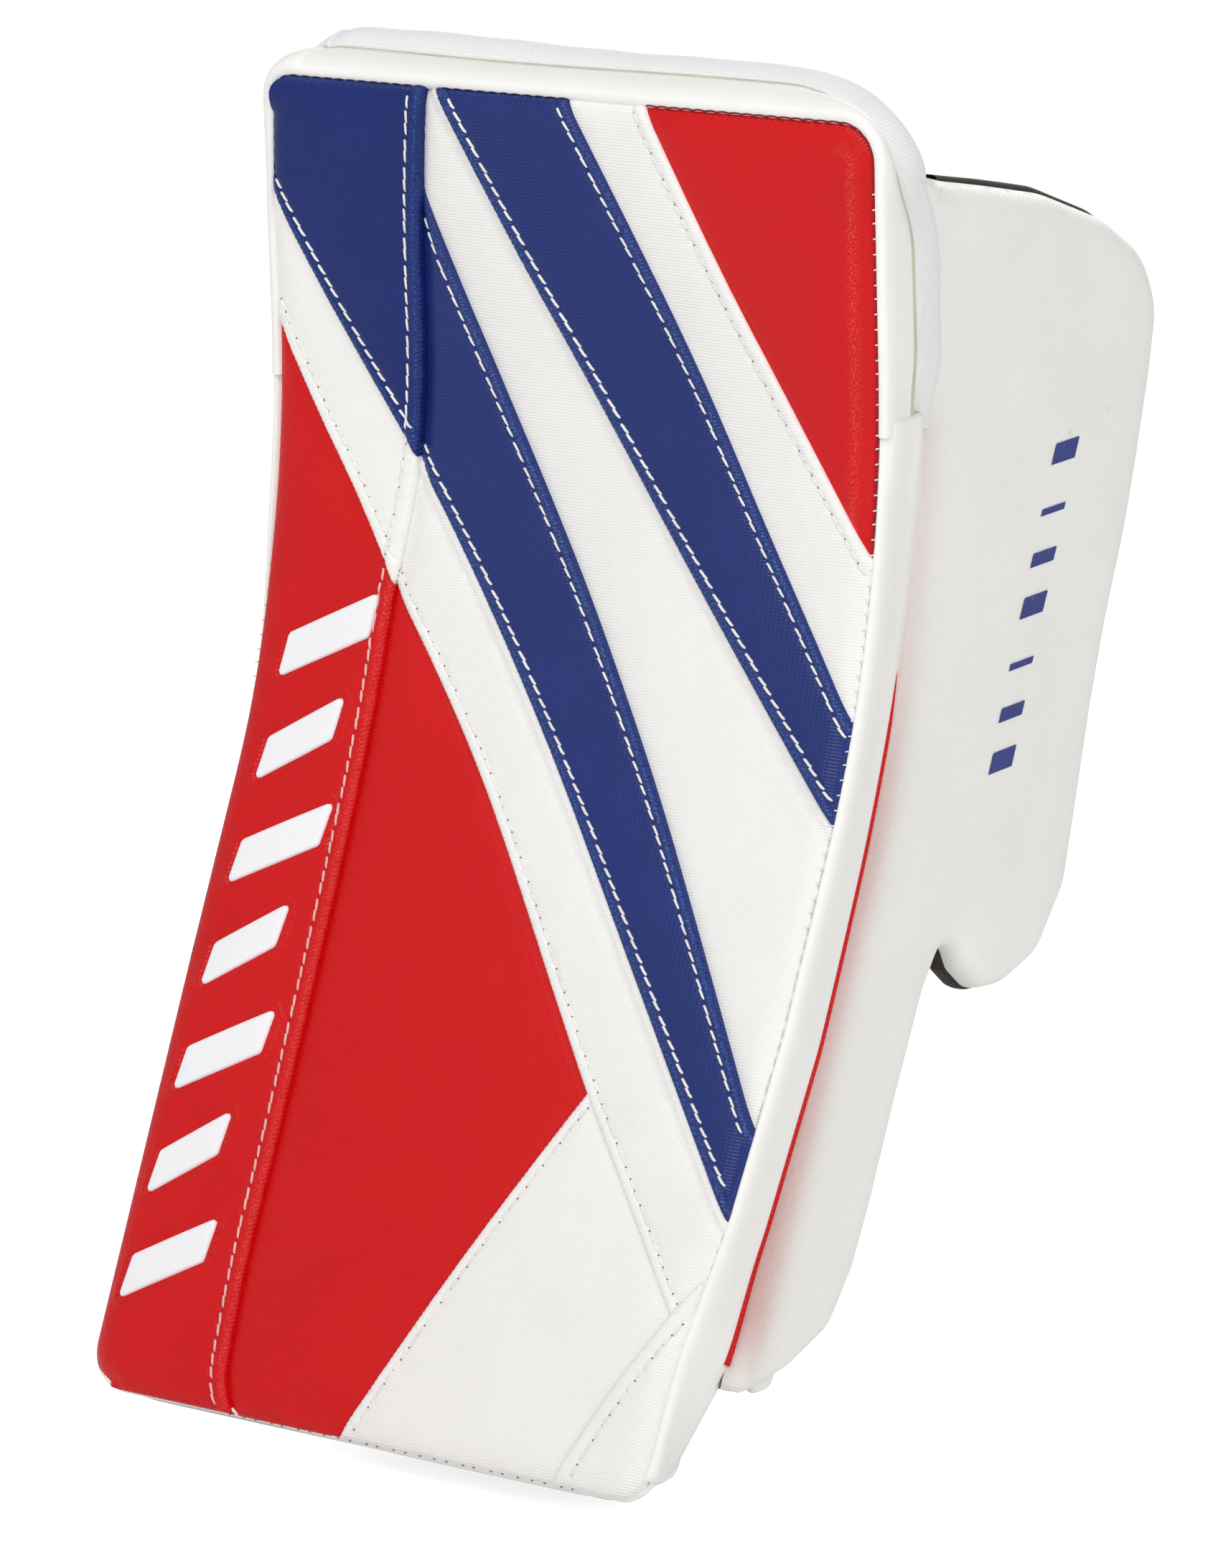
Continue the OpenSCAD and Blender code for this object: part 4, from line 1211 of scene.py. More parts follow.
def wall_outline():
    """(y, z) lines: the wall's free edge from the top down, and its root up along the board's curve."""
    root = np.array([surf(0, s, ROOT_N)[1:] for s in np.arange(34, 349, 3.0)])
    loop = rounded(WALL + [(root[0][0] - 1, root[0][1], 2), (root[-1][0] - 1, root[-1][1], 2)], 1.5)
    top, bottom = (np.linalg.norm(loop - np.array(WALL[i][:2]), axis=1).argmin() for i in (0, -1))
    count = (bottom - top) % len(loop) + 1
    return np.roll(loop, -top, 0)[:count], root


FREE_EDGE, ROOT = wall_outline()
REGION = np.vstack([FREE_EDGE, ROOT])
# the side of the free edge on which the wall lies
WALL_SIDE = 1 if signed(np.array([[60.0, 250.0]]), FREE_EDGE)[0] > 0 else -1


def wall_puff(p):
    """How far the wall's outer face stands out, from its distance to the free edge and the board."""
    d = distance(p, FREE_EDGE)
    r = distance(p, ROOT)
    y, z = p[:, 0], p[:, 1]
    soft = 1.6 * (1 - np.exp(-d / 16)) * (1 - np.exp(-r / 18))
    wave = 0.35 * np.sin(z / 31 + y / 23) * np.sin(y / 17 - z / 77) * smooth(np.minimum(d, r) / 20)
    return WALL_X - 0.4 + soft + wave - roll(d, 6.5, 6.0)


def wall_sheet(pitch=4.5):
    """Flat triangles of the wall, with rows of points beside its free edge."""
    rows = []
    for d in (0.1, 0.3, 0.7, 1.3, 2.1, 3.0, 4.0, 5.2, 6.5, 8.5, 11, 14):
        q = resample(shift(FREE_EDGE, WALL_SIDE * d), 1.8)
        rows.append(q[np.abs(distance(q, FREE_EDGE) - d) < 0.1 + 0.15 * d])
    inner = np.vstack(rows + [hexes(-20, 118, 30, 362, pitch)])
    inner = inner[inside(inner, REGION) & (distance(inner, closed(REGION)) > 0.12)]
    return fill(REGION, spaced(inner, 0.5))


def flex():
    mid = (AXIS_A + AXIS_B) / 2
    along = unit(AXIS_B - AXIS_A)
    back = np.array([along[1], -along[0]])
    if back[0] < 0:
        back = -back
    start, end = (wpoint(97, *(mid + back * far)) for far in (BEND_FROM, BEND_TO))
    return ("board", "sidewall", start, end)


def build_wall():
    """The white outer skin with its turned edge, and the dark lining on the inner face."""
    v, f = wall_sheet()
    z, from_free = v[:, 1], distance(v, FREE_EDGE)
    x = wall_puff(v)
    ids, faces = skirted(f, len(v))
    back = np.where(from_free[ids] < 0.2, 87.5, x[ids] - 6)
    # painted reflection of the red piping: pink beside the wall's root, stronger lower down and fading at
    # both ends
    tint = ridge(distance(v, ROOT), 0, 6.8) * (0.3 + 0.45 * smooth((240 - z) / 60))
    tint *= smooth((308 - z) / 20) * smooth((z - 30) / 26)
    verts = np.vstack([np.column_stack([x, v]), np.column_stack([back, v[ids]])])
    uv = np.vstack([v, v[ids] + 0.5]) * MM
    turned_piece("wall_skin", verts, faces, WHITE_TWILL, "sidewall",
                 ["sidewall_skin", "sidewall_foam"], flex(), uv=uv,
                 attributes={"tint": np.r_[tint, tint[ids]]})

    x = 85.0 - 0.8 * (1 - np.exp(-from_free / 12)) + roll(from_free, 3, 2.5)
    ob = mesh_object("wall_lining", np.column_stack([x, v]), [tuple(t[::-1]) for t in f], v * MM)
    finish_piece(ob, LINING, "sidewall", ["sidewall_lining"], flex())


def build_wall_rim():
    """The lining's narrow rim round the free edge, which shows at the top and in the notch."""
    y, z = FREE_EDGE.T
    lift = np.interp(y, [-5, 20, 70, 96, 104, 200], [1.5, 1.7, 1.5, 0.9, 0.4, 0.4])
    lift = np.where(z > 318, lift, 0.4)
    lift = np.where((z < 175) & (y > 62), 0.8, lift)
    out = -normals(FREE_EDGE) * WALL_SIDE
    section = [(-0.6, 90.5), (0.6, 90.3), (1.0, 89.0), (1.0, 87.0), (0.6, 85.4), (-1.2, 84.8)]
    rows = []
    for o, x in section:
        q = FREE_EDGE + out * (lift * max(o, 0) + min(o, 0))[:, None]
        rows.append(np.column_stack([np.full(len(q), x), q]))
    uv = grid_uv(lengths(FREE_EDGE), np.arange(len(section)) * 1.5)
    verts = np.stack(rows, 1).reshape(-1, 3)
    turned_piece("wall_rim", verts, grid_faces(len(FREE_EDGE), len(section)), LINING,
                 "sidewall", [], flex(), uv=uv)


def build_wall_bars():
    """The printed bars on the wall's outer face, in three widths by turns."""
    verts, faces, uvs = [], [], []
    for i in range(7):
        z, y = 210 + i * 14, 70 - i * 0.9
        k = (i % 3) * 2
        corners = np.array([(y - 5, z), (y + 5, z + 5), (y + 5, z + 11 - k), (y - 5, z + 6 - k)], float)
        shape = resample(closed(corners), 0.7)[:-1]
        inner = hexes(y - 6, y + 6, z, z + 12, 2.0)
        inner = inner[inside(inner, shape) & (distance(inner, closed(shape)) > 0.6)]
        v, f = fill(shape, inner)
        faces += moved(f, sum(len(a) for a in verts))
        verts.append(np.column_stack([wall_puff(v) + 0.22, v]))
        uvs.append(v * MM)
    ob = mesh_object("wall_bars", np.vstack(verts), faces, np.vstack(uvs))
    finish_piece(ob, PRINT, "sidewall", ["sidewall_bars"], flex())


build_wall()
build_wall_rim()
build_wall_bars()


# ---- helpers for flat pieces and webbing ----------------------------------------------
def grey_seam(name, lines, pitch=3.4, length=2.6, radius=0.25, slant=0.15, **more):
    """A seam sewn with grey thread."""
    return sew(name, lines, pitch, length, radius, slant, THREAD_GREY, **more)


def plate(name, outline, place, thick, material, body, nodes=(), holes=(), pitch=3.0, puff=0.0):
    """A flat piece with rounded edges; place(points, height) puts it in upright millimetres."""
    loops = [outline] + list(holes)
    edge = thick * 0.47
    edges, count = [], 0
    (x0, y0), (x1, y1) = outline.min(0), outline.max(0)
    inner = [hexes(x0, x1, y0, y1, pitch)]
    for loop in loops:
        edges += chain_edges(count, len(loop), True)
        count += len(loop)
        inward = -1 if loop is outline else 1
        inner += [loop + outward(loop) * edge * share * inward for share in (0.25, 0.6, 1.1)]

    def gap(p):
        return np.min([distance(p, closed(loop)) for loop in loops], axis=0)

    def within(p):
        ok = inside(p, outline)
        for hole in holes:
            ok &= ~inside(p, hole)
        return ok

    inner = np.vstack(inner)
    inner = inner[within(inner)]
    inner = inner[gap(inner) > edge * 0.2]
    v, f = triangulate(np.vstack(loops + [inner]), edges, within)
    d = gap(v)
    half = thick / 2 - roll(d, edge, edge)
    top = place(v, thick / 2 + half + puff * (1 - np.exp(-d / 4)))
    under = place(v, thick / 2 - half)
    return turned_piece(name, np.vstack([top, under]), doubled(f, len(v)), material, body, nodes,
                        uv=np.vstack([v, v]) * MM)


def box_outline(x0, x1, y0, y1, r, step=1.2):
    """A rectangle with rounded corners."""
    return rounded([(x0, y0, r), (x1, y0, r), (x1, y1, r), (x0, y1, r)], step)


def ring_outline(x, y, r, count=18):
    """A circle."""
    a = np.arange(count) * 2 * math.pi / count
    return np.stack([x + r * np.cos(a), y + r * np.sin(a)], 1)


def ribbon(name, path, across, width, thick, material, body, nodes, columns=9):
    """A flat strap along upright points, width across it; returns its normals along the path."""
    t = unit(np.gradient(path, axis=0))
    up = unit(np.cross(np.broadcast_to(across, t.shape), t))
    half = thick / 2
    flat = np.linspace(half - width / 2, width / 2 - half, columns)
    turns = np.linspace(-math.pi / 2, math.pi / 2, 5)[1:-1]
    section = [(w, half) for w in flat]
    section += [(flat[-1] + half * math.cos(-b), half * math.sin(-b)) for b in turns]
    section += [(w, -half) for w in flat[::-1]]
    section += [(flat[0] - half * math.cos(b), half * math.sin(b)) for b in turns]
    section = np.array(section)
    verts = path[:, None] + section[None, :, :1] * np.asarray(across) + section[None, :, 1:] * up[:, None]
    n = len(section)
    last = (len(path) - 1) * n
    faces = grid_faces(len(path), n, True) + [tuple(range(n))[::-1], tuple(last + k for k in range(n))]
    turned_piece(name, verts.reshape(-1, 3), faces, material, body, nodes,
                 uv=grid_uv(lengths(path), lengths(section)))
    return up


# ---- padding against the hand and forearm ---------------------------------------------
def baked(ob):
    """The piece's mesh as its modifiers leave it, with none left on it."""
    graph = bpy.context.evaluated_depsgraph_get()
    ob.data = bpy.data.meshes.new_from_object(ob.evaluated_get(graph))
    ob.modifiers.clear()


SWELL_FRAMES = 20


def inflate(ob, held, limit):
    """Cloth simulation: air pressure swells the cover between its sewn lines, by limit at most."""
    scene = bpy.context.scene
    group = ob.vertex_groups.new(name="sewn")
    group.add([int(i) for i in np.nonzero(held)[0]], 1.0, "REPLACE")
    settings = ob.modifiers.new("cloth", "CLOTH").settings
    settings.effector_weights.gravity = 0
    settings.use_pressure = True
    settings.uniform_pressure_force = 4
    settings.vertex_group_mass = "sewn"
    settings.mass = 0.2
    settings.tension_stiffness = settings.compression_stiffness = 12
    settings.bending_stiffness = 0.4
    rest = np.array([v.co for v in ob.data.vertices])
    for step in range(SWELL_FRAMES):
        scene.frame_set(step + 1)
    graph = bpy.context.evaluated_depsgraph_get()
    change = np.array([v.co for v in ob.evaluated_get(graph).data.vertices]) - rest
    far = np.linalg.norm(change, axis=1)
    change *= (limit * MM * np.tanh(far / (limit * MM)) / np.maximum(far, 1e-9))[:, None]
    ob.modifiers.clear()
    ob.vertex_groups.clear()
    ob.data.vertices.foreach_set("co", (rest + change).astype(np.float32).ravel())
    scene.frame_set(1)


def back_row(x, s, n):
    """A stitch row on the board's back at depth n, with its upward directions."""
    p = surf(x, s, n)
    return p, surf(x, s, n + 1) - p


def build_pad(name, node, x0, x1, s0, s1, n1, seams_x, seams_s, swell):
    """A quilted pad on the board's back: its cover is sewn down along the seams and round its border."""
    pitch, r = 3.4, 13.0
    foot, crest = DEPTH + 1.2, n1 - swell * 0.7
    nx, ns = int((x1 - x0) / pitch) + 1, int((s1 - s0) / pitch) + 1
    x, s = (g.ravel() for g in np.meshgrid(np.linspace(x0, x1, nx), np.linspace(s0, s1, ns), indexing="ij"))
    gaps = [np.abs(x - place) for place in seams_x] + [np.abs(s - place) for place in seams_s]
    lines = np.min(gaps, axis=0)
    dx, ds = np.minimum(x - x0, x1 - x), np.minimum(s - s0, s1 - s)
    edge = np.minimum(dx, ds)
    # the grid's corners draw in to round ones
    corner = (dx < r) & (ds < r)
    pull = np.where(corner, r / np.maximum(np.hypot(r - dx, r - ds), r), 1)
    cx, cs = np.where(x < (x0 + x1) / 2, x0 + r, x1 - r), np.where(s < (s0 + s1) / 2, s0 + r, s1 - r)
    x, s = cx + (x - cx) * pull, cs + (s - cs) * pull
    crown = 1 - np.exp(-edge / 5)
    height = foot + (crest - foot) * crown - 3.2 * ridge(lines, 0, 2.6) * crown
    k = len(x)
    faces = [q[::-1] for q in grid_faces(nx, ns)] + moved(grid_faces(nx, ns), k)
    ring = [i * ns for i in range(nx)] + [(nx - 1) * ns + j for j in range(1, ns)]
    ring += [i * ns + ns - 1 for i in range(nx - 2, -1, -1)] + [j for j in range(ns - 2, 0, -1)]
    faces += [(a, b, b + k, a + k) for a, b in zip(ring, ring[1:] + ring[:1])]
    verts = np.vstack([surf(x, s, height), surf(x, s, np.full(k, DEPTH + 0.15))])
    ob = mesh_object(name, verts, faces, np.stack([np.r_[x, x], np.r_[s, s]], 1) * MM)
    outward_faces(ob)
    inflate(ob, np.r_[(lines < 2.0) | (edge < 0.1), np.ones(k, bool)], swell)
    ob.modifiers.new("smooth", "SUBSURF").levels = 1
    baked(ob)
    ob.data.polygons.foreach_set("use_smooth", [True] * len(ob.data.polygons))
    finish_piece(ob, PAD, "board", [node])

    border = box_outline(x0, x1, s0, s1, r, 1.6)
    loop = np.vstack([border, border[:2]])
    cord(f"{name}_binding", surf(loop[:, 0], loop[:, 1], DEPTH + 1.3), 1.7, NYLON, sides=8)
    sewn = [back_row(place, np.linspace(s0 + 4, s1 - 4, 80), crest - 3.0) for place in seams_x]
    sewn += [back_row(np.linspace(x0 + 4, x1 - 4, 80), place, crest - 3.0) for place in seams_s]
    grey_seam(f"{name}_stitches", sewn, 4.0, 3.0, 0.3, 0.2, lift=0.3)


build_pad("hand_cushion", "hand_pad", -53, 48, 62, 182, 34.6, (), (101, 142), 3.5)
build_pad("cuff_cushion", "cuff_pad", -50, 50, 226, 348, 36.6, (-17, 17), (), 4.0)


# ---- the glove's palm -----------------------------------------------------------------
PALM_X = (-51.0, 47.0)
PALM_Y = (35.4, 77.0)
PALM_Z = (87.0, 176.0)
KNUCKLE = np.array([52.0, 88.0])


def palm_reach(z):
    """Depth of the palm's outer face: it draws in towards the finger stalls and flares at the mouth."""
    return PALM_Y[1] - 10.5 * smooth((116 - z) / 32) - 0.8 * ridge(z, 163, 9)


def palm_section(z, inward):
    """One open U round the hand at height z, from its left edge over the back of it to the right edge."""
    x0, x1 = PALM_X[0] + inward, PALM_X[1] - inward
    y1, r = palm_reach(z) - inward, 14.0 - inward
    a = np.linspace(math.pi, math.pi / 2, 9)[1:]
    left = np.stack([np.full(12, x0), np.linspace(PALM_Y[0], y1 - r, 12)], 1)
    turn = np.stack([x0 + r + r * np.cos(a), y1 - r + r * np.sin(a)], 1)
    half = np.vstack([left, turn])
    back = np.stack([np.linspace(x0 + r, x1 - r, 30), np.full(30, y1)], 1)[1:-1]
    return np.vstack([half, back, half[::-1] * (-1, 1) + (x0 + x1, 0)])


def palm_out(q):
    """Outward normals of a palm section."""
    out = -normals(q)
    return out if out[len(out) // 2][1] > 0 else -out


def palm_rows(zs, inward):
    """Palm sections at heights zs, with soft folds."""
    rows = []
    for z in zs:
        q = palm_section(z, inward)
        x, y = q.T
        fold = 0.45 * np.sin(x / 7 + z / 11) * np.sin(z / 6.5 - x / 19) * ridge(z, 112, 16)
        fold += 0.2 * np.sin(y / 4 + z / 9) * ridge(z, 140, 30)
        rows.append(np.column_stack([q + palm_out(q) * fold[:, None], np.full(len(q), z)]))
    return np.array(rows)


THUMB_Y, THUMB_Z = 63, 160      # the middle of the palm's hole for the thumb


def build_palm():
    """The shell round the hand, its bindings and its two stitch rows."""
    zs = np.linspace(*PALM_Z, 46)
    rows = palm_rows(zs, 0.0)
    outer, under = rows.reshape(-1, 3), palm_rows(zs, 2.6).reshape(-1, 3)
    k, cols = len(outer), rows.shape[1]
    quads = grid_faces(len(zs), cols)
    x, y, z = np.array([outer[list(q)].mean(0) for q in quads]).T
    hole = (x > 45) & (((y - THUMB_Y) / 8) ** 2 + ((z - THUMB_Z) / 5) ** 2 < 1)
    quads = [q for q, cut in zip(quads, hole) if not cut]
    used = {(a, b): 1 for q in quads for a, b in zip(q, q[1:] + q[:1])}
    faces = two_sided(quads, k) + [(b, a, a + k, b + k) for a, b in used if (b, a) not in used]
    uv = grid_uv(zs, lengths(rows[-1]))[:, ::-1]
    turned_piece("palm_shell", np.vstack([outer, under]), faces, PALM, "board",
                 ["palm_panel"], uv=np.vstack([uv, uv]))

    # bindings at the mouth and down both long edges
    mouth = np.column_stack([palm_section(175.6, 1.3), np.full(cols, 175.6)])
    cord("palm_mouth_binding", resample(mouth, 1.5), 2.2, NYLON)
    for side, x in (("left", PALM_X[0] + 1.3), ("right", PALM_X[1] - 1.3)):
        line = np.array([(x, PALM_Y[0] + 0.6, z) for z in np.arange(PALM_Z[0], PALM_Z[1] + 0.1, 1.5)])
        cord(f"palm_edge_{side}", line, 1.9, NYLON, sides=8)
    sewn = []
    for z in (171.4, 103.0):
        q = resample(np.column_stack([palm_section(z, -0.05), np.full(cols, z)]), 0.8)
        sewn.append((q, np.column_stack([palm_out(q[:, :2]), np.zeros(len(q))])))
    grey_seam("palm_stitches", sewn, 3.6, 2.8, 0.28, 0.2)


def on_palm(p, h):
    """(x, z) on the back wall of the palm."""
    return np.stack([p[:, 0], palm_reach(p[:, 1]) + 0.1 + h, p[:, 1]], 1)


def border_seam(name, box, place, h):
    """A stitch row round a box outline, on a surface that faces backwards."""
    line = place(resample(closed(box), 0.8), h)
    grey_seam(name, [(line, np.tile([0, 1.0, 0], (len(line), 1)))])


build_palm()
plate("palm_suede", box_outline(-32, 22, 101, 162, 9), on_palm, 1.2, SUEDE, "board",
      ["palm_patch"], puff=0.1)
border_seam("palm_suede_stitches", box_outline(-29.5, 19.5, 103.5, 159.5, 7), on_palm, 1.25)


# ---- finger and thumb stalls ----------------------------------------------------------
POWER = 2 / 2.5     # of the stalls' sections, which lie between a circle and a box
STALL_SIDES = 36
TIP_ROWS = (0.2, 0.4, 0.6, 0.76, 0.88, 0.96, 0.995)    # along the rounded tip, as shares of its radius


def heading(a):
    """The direction in (y, z) of a stall at angle a: straight down at 0, backwards at 90 degrees."""
    return np.array([math.sin(a), -math.cos(a)])


def out_of(a):
    """The palm side's direction in (y, z) where a stall heads at angle a."""
    return np.array([math.cos(a), math.sin(a)])


def soft_box(count, w, h):
    """A section between a circle and a box, w and h from its middle to its sides."""
    a = np.arange(count) * 2 * math.pi / count
    return [np.sign(f) * np.abs(f) ** POWER * size for f, size in ((np.cos(a), w), (np.sin(a), h))]


def stall_path(root, a1, l1, a2, l2, back, turn):
    """Centre line in (y, z) with its angles: from above the root, round the elbow, to the tip's centre."""
    elbow = root + l1 * heading(a1)
    cut = turn * math.tan((a2 - a1) / 2)
    centre = elbow - cut * heading(a1) + turn * out_of(a1)
    steps = [(root + t * heading(a1), a1) for t in np.arange(-back, l1 - cut, 1.8)]
    steps += [(centre - turn * out_of(a), a) for a in np.linspace(a1, a2, 14)]
    steps += [(elbow + t * heading(a2), a2) for t in np.arange(cut + 1.8, l2 + 0.1, 1.8)]
    return np.array([p for p, _ in steps]), [a for _, a in steps], elbow


def stall_skin(x, w, r, pts, angles, inward, crease):
    """Rows of points round the centre line; the last rows close the tip."""
    cx, cy = soft_box(STALL_SIDES, w / 2 - inward, r - inward)
    folded = np.sin(np.arange(STALL_SIDES) * 2 * math.pi / STALL_SIDES) > -0.3
    groove = 0.45 * ridge(cy, 0, 1.2)
    rows = []
    for p, a, d in zip(pts, angles, lengths(pts)):
        waist = 1 - 0.06 * ridge(d, crease, 5.0)
        ripple = 0.35 * math.sin(d / 1.9) * ridge(d, crease, 9.0)
        k = waist + (ripple * folded - groove) / r
        rows.append(np.column_stack([x + cx * k, p + (cy * k)[:, None] * out_of(a)]))
    for t in TIP_ROWS:
        k = math.sqrt(1 - t * t)
        p = pts[-1] + heading(angles[-1]) * (r - inward) * t
        rows.append(np.column_stack([x + cx * k, p + (cy * k)[:, None] * out_of(angles[-1])]))
    return np.array(rows)


def build_stall(finger, x, w, r, root, a1, l1, a2, l2, back, turn, between):
    """A stall from above its root to its tip, bent at its elbow; points at the two lengths from the root in
    between are worked out, but nothing bends the stall there.
    """
    a1, a2 = math.radians(a1), math.radians(a2)
    pts, angles, elbow = stall_path(root, a1, l1, a2, l2, back, turn)
    outer, inner = (stall_skin(x, w, r, pts, angles, inward, l1 + back) for inward in (0.0, 2.2))
    rows, cols = len(outer), STALL_SIDES
    k = rows * cols
    tip = tuple((rows - 1) * cols + i for i in range(cols))
    faces = two_sided(grid_faces(rows, cols, True), k) + two_sided([tip], k)
    faces += [((j + 1) % cols, j, k + j, k + (j + 1) % cols) for j in range(cols)]
    uv = grid_uv(lengths(outer.mean(1)), np.arange(cols) * 2.1)
    verts = np.vstack([outer.reshape(-1, 3), inner.reshape(-1, 3)])
    ob = mesh_object(f"{finger}_cover", verts, faces, np.vstack([uv, uv]))
    outward_faces(ob)
    bend_with = ("board", finger, *(wpoint(x, *(root + heading(a1) * t)) for t in between))
    finish_piece(ob, PALM, finger, [f"{finger}_stall"], bend_with)
    # seams down both sides of the stall and over its tip
    sewn = []
    for side in (2, 16):
        line = outer[:rows - 3, side]
        both = resample(np.hstack([line, unit(line - outer[:rows - 3].mean(1))]), 0.8)
        sewn.append((both[:, :3], both[:, 3:]))
    grey_seam(f"{finger}_cover_stitches", sewn, radius=0.24, body=finger, blend=bend_with)
    return elbow


def build_finger(finger, x, w, r, l1, l2, tip_angle=105):
    """A finger's stall with the suede grip on the palm side of its lower half."""
    elbow = build_stall(finger, x, w - 0.6, r, KNUCKLE, 25, l1, tip_angle, l2, 10, r + 1.5, (-7, 9))
    a = math.radians(tip_angle)

    def on_grip(p, h):
        """(across, along) on the palm side of the stall's lower half."""
        u = np.clip(np.abs(p[:, 0]) / (w / 2), 0, 0.98)
        out = r * (1 - u ** 2.5) ** 0.4 * 0.985 + h
        return np.column_stack([x + p[:, 0], elbow + p[:, 1:] * heading(a) + out[:, None] * out_of(a)])

    shape = box_outline(3 - w / 2, w / 2 - 3, r + 3, l2 + 1.5, 4.5, 1.0)
    plate(f"{finger}_suede", shape, on_grip, 1.1, SUEDE, finger, [f"{finger}_grip"], pitch=2.4)


def build_collar():
    """The short sleeve that joins the thumb stall to the side of the palm."""
    x, y, sides = 59.4, 63.4, 40
    rows = []
    for z, k in ((153.5, 0.90), (153.2, 0.97), (154.0, 1.0), (158, 1.0), (162, 0.99), (165, 0.93),
                 (167, 0.82), (168.0, 0.62), (168.3, 0.3), (168.35, 0.05)):
        cx, cy = soft_box(sides, 12.2 * k, 14.2 * k)
        rows.append(np.column_stack([x + cx, y + cy, np.full(sides, z)]))
    top = tuple((len(rows) - 1) * sides + i for i in range(sides))
    turned_piece("thumb_collar", np.vstack(rows), grid_faces(len(rows), sides, True) + [top], PALM,
                 "board", ["thumb_gusset"])
    line = resample(closed(rows[3]), 0.8) - (0, 0, 1.6)
    up = unit((line - (x, y, 0)) * (1, 1, 0))
    grey_seam("thumb_collar_stitches", [(line, up)], radius=0.24)


build_finger("index", 33.5, 23, 12.5, 38, 28)
build_finger("middle", 9.5, 23, 12.5, 41, 30)
build_finger("ring", -14.5, 22, 12, 39, 28)
build_finger("little", -37.5, 21, 11.5, 33, 24)
build_stall("thumb", 60.0, 22, 12, np.array([64.0, 148.0]), 12, 30, 38, 20, 9, 20, (-3, 10))
build_collar()


# ---- lacing on the little finger side -------------------------------------------------
EYELET_X = -66
EYELET_Z = [104 + i * 16 for i in range(5)]


def on_back(p, h):
    """(x, z) against the board's flat back."""
    return np.stack([p[:, 0], DEPTH + 0.1 + h + 0 * p[:, 0], p[:, 1]], 1)


def build_eyelets(count=28):
    """Rings from a closed (radius, y) section."""
    section = [(2.2, -0.6), (2.2, 0.3), (2.7, 0.75), (3.4, 0.75), (4.0, 0.3), (4.05, -0.02), (3.2, -0.1)]
    verts, faces = [], []
    for z in EYELET_Z:
        faces += moved(grid_faces(len(section), count, True, True), len(verts))
        for r, y in section:
            verts += [(x, DEPTH + 2 + y, zz) for x, zz in ring_outline(EYELET_X, z, r, count)]
    turned_piece("eyelet_rings", np.array(verts), faces, METAL, "board", ["eyelets"])


def lace_route():
    """The lace's line: through each eyelet, over to the palm's edge and back to the next one."""
    route = []
    for z in EYELET_Z:
        route += [(-66, 26.6, z), (-65, 30.6, z + 1)]
        if z != EYELET_Z[-1]:
            route += [(-55, 42, z + 7), (-50.5, 43.2, z + 8), (-55, 42, z + 9), (-65, 30.6, z + 15)]
    return spline(route, 0.9)


plate("lace_tab", box_outline(-74, -53.6, 96, 176, 5), on_back, 1.9, PALM, "board",
      ["lace_flange"], [ring_outline(EYELET_X, z, 2.3) for z in EYELET_Z])
build_eyelets()
border_seam("lace_tab_stitches", box_outline(-72.2, -56, 98, 174, 4), on_back, 1.9)
cord("lace_cord", lace_route(), 1.45, LACE, ["palm_lace"])


# ---- straps ---------------------------------------------------------------------------
def rounded_path(corners, radius, step=0.8):
    """An open path with its corners rounded."""
    pts = [np.array(c, float) for c in corners]
    out = [pts[0]]
    for a, p, b in zip(pts, pts[1:], pts[2:]):
        ka, kb = np.linalg.norm(a - p), np.linalg.norm(b - p)
        k = min(radius, 0.45 * ka, 0.45 * kb)
        for t in np.linspace(0, 1, 9):
            before, after = p + unit(a - p) * k, p + unit(b - p) * k
            out.append((1 - t) ** 2 * before + 2 * t * (1 - t) * p + t ** 2 * after)
    return resample(np.array(out + [pts[-1]]), step)


def arc_points(cx, cy, r, a0, a1, count=16):
    """Points of an arc from angle a0 to a1, in degrees."""
    a = np.radians(np.linspace(a0, a1, count))
    return [(cx + r * math.cos(b), cy + r * math.sin(b)) for b in a]


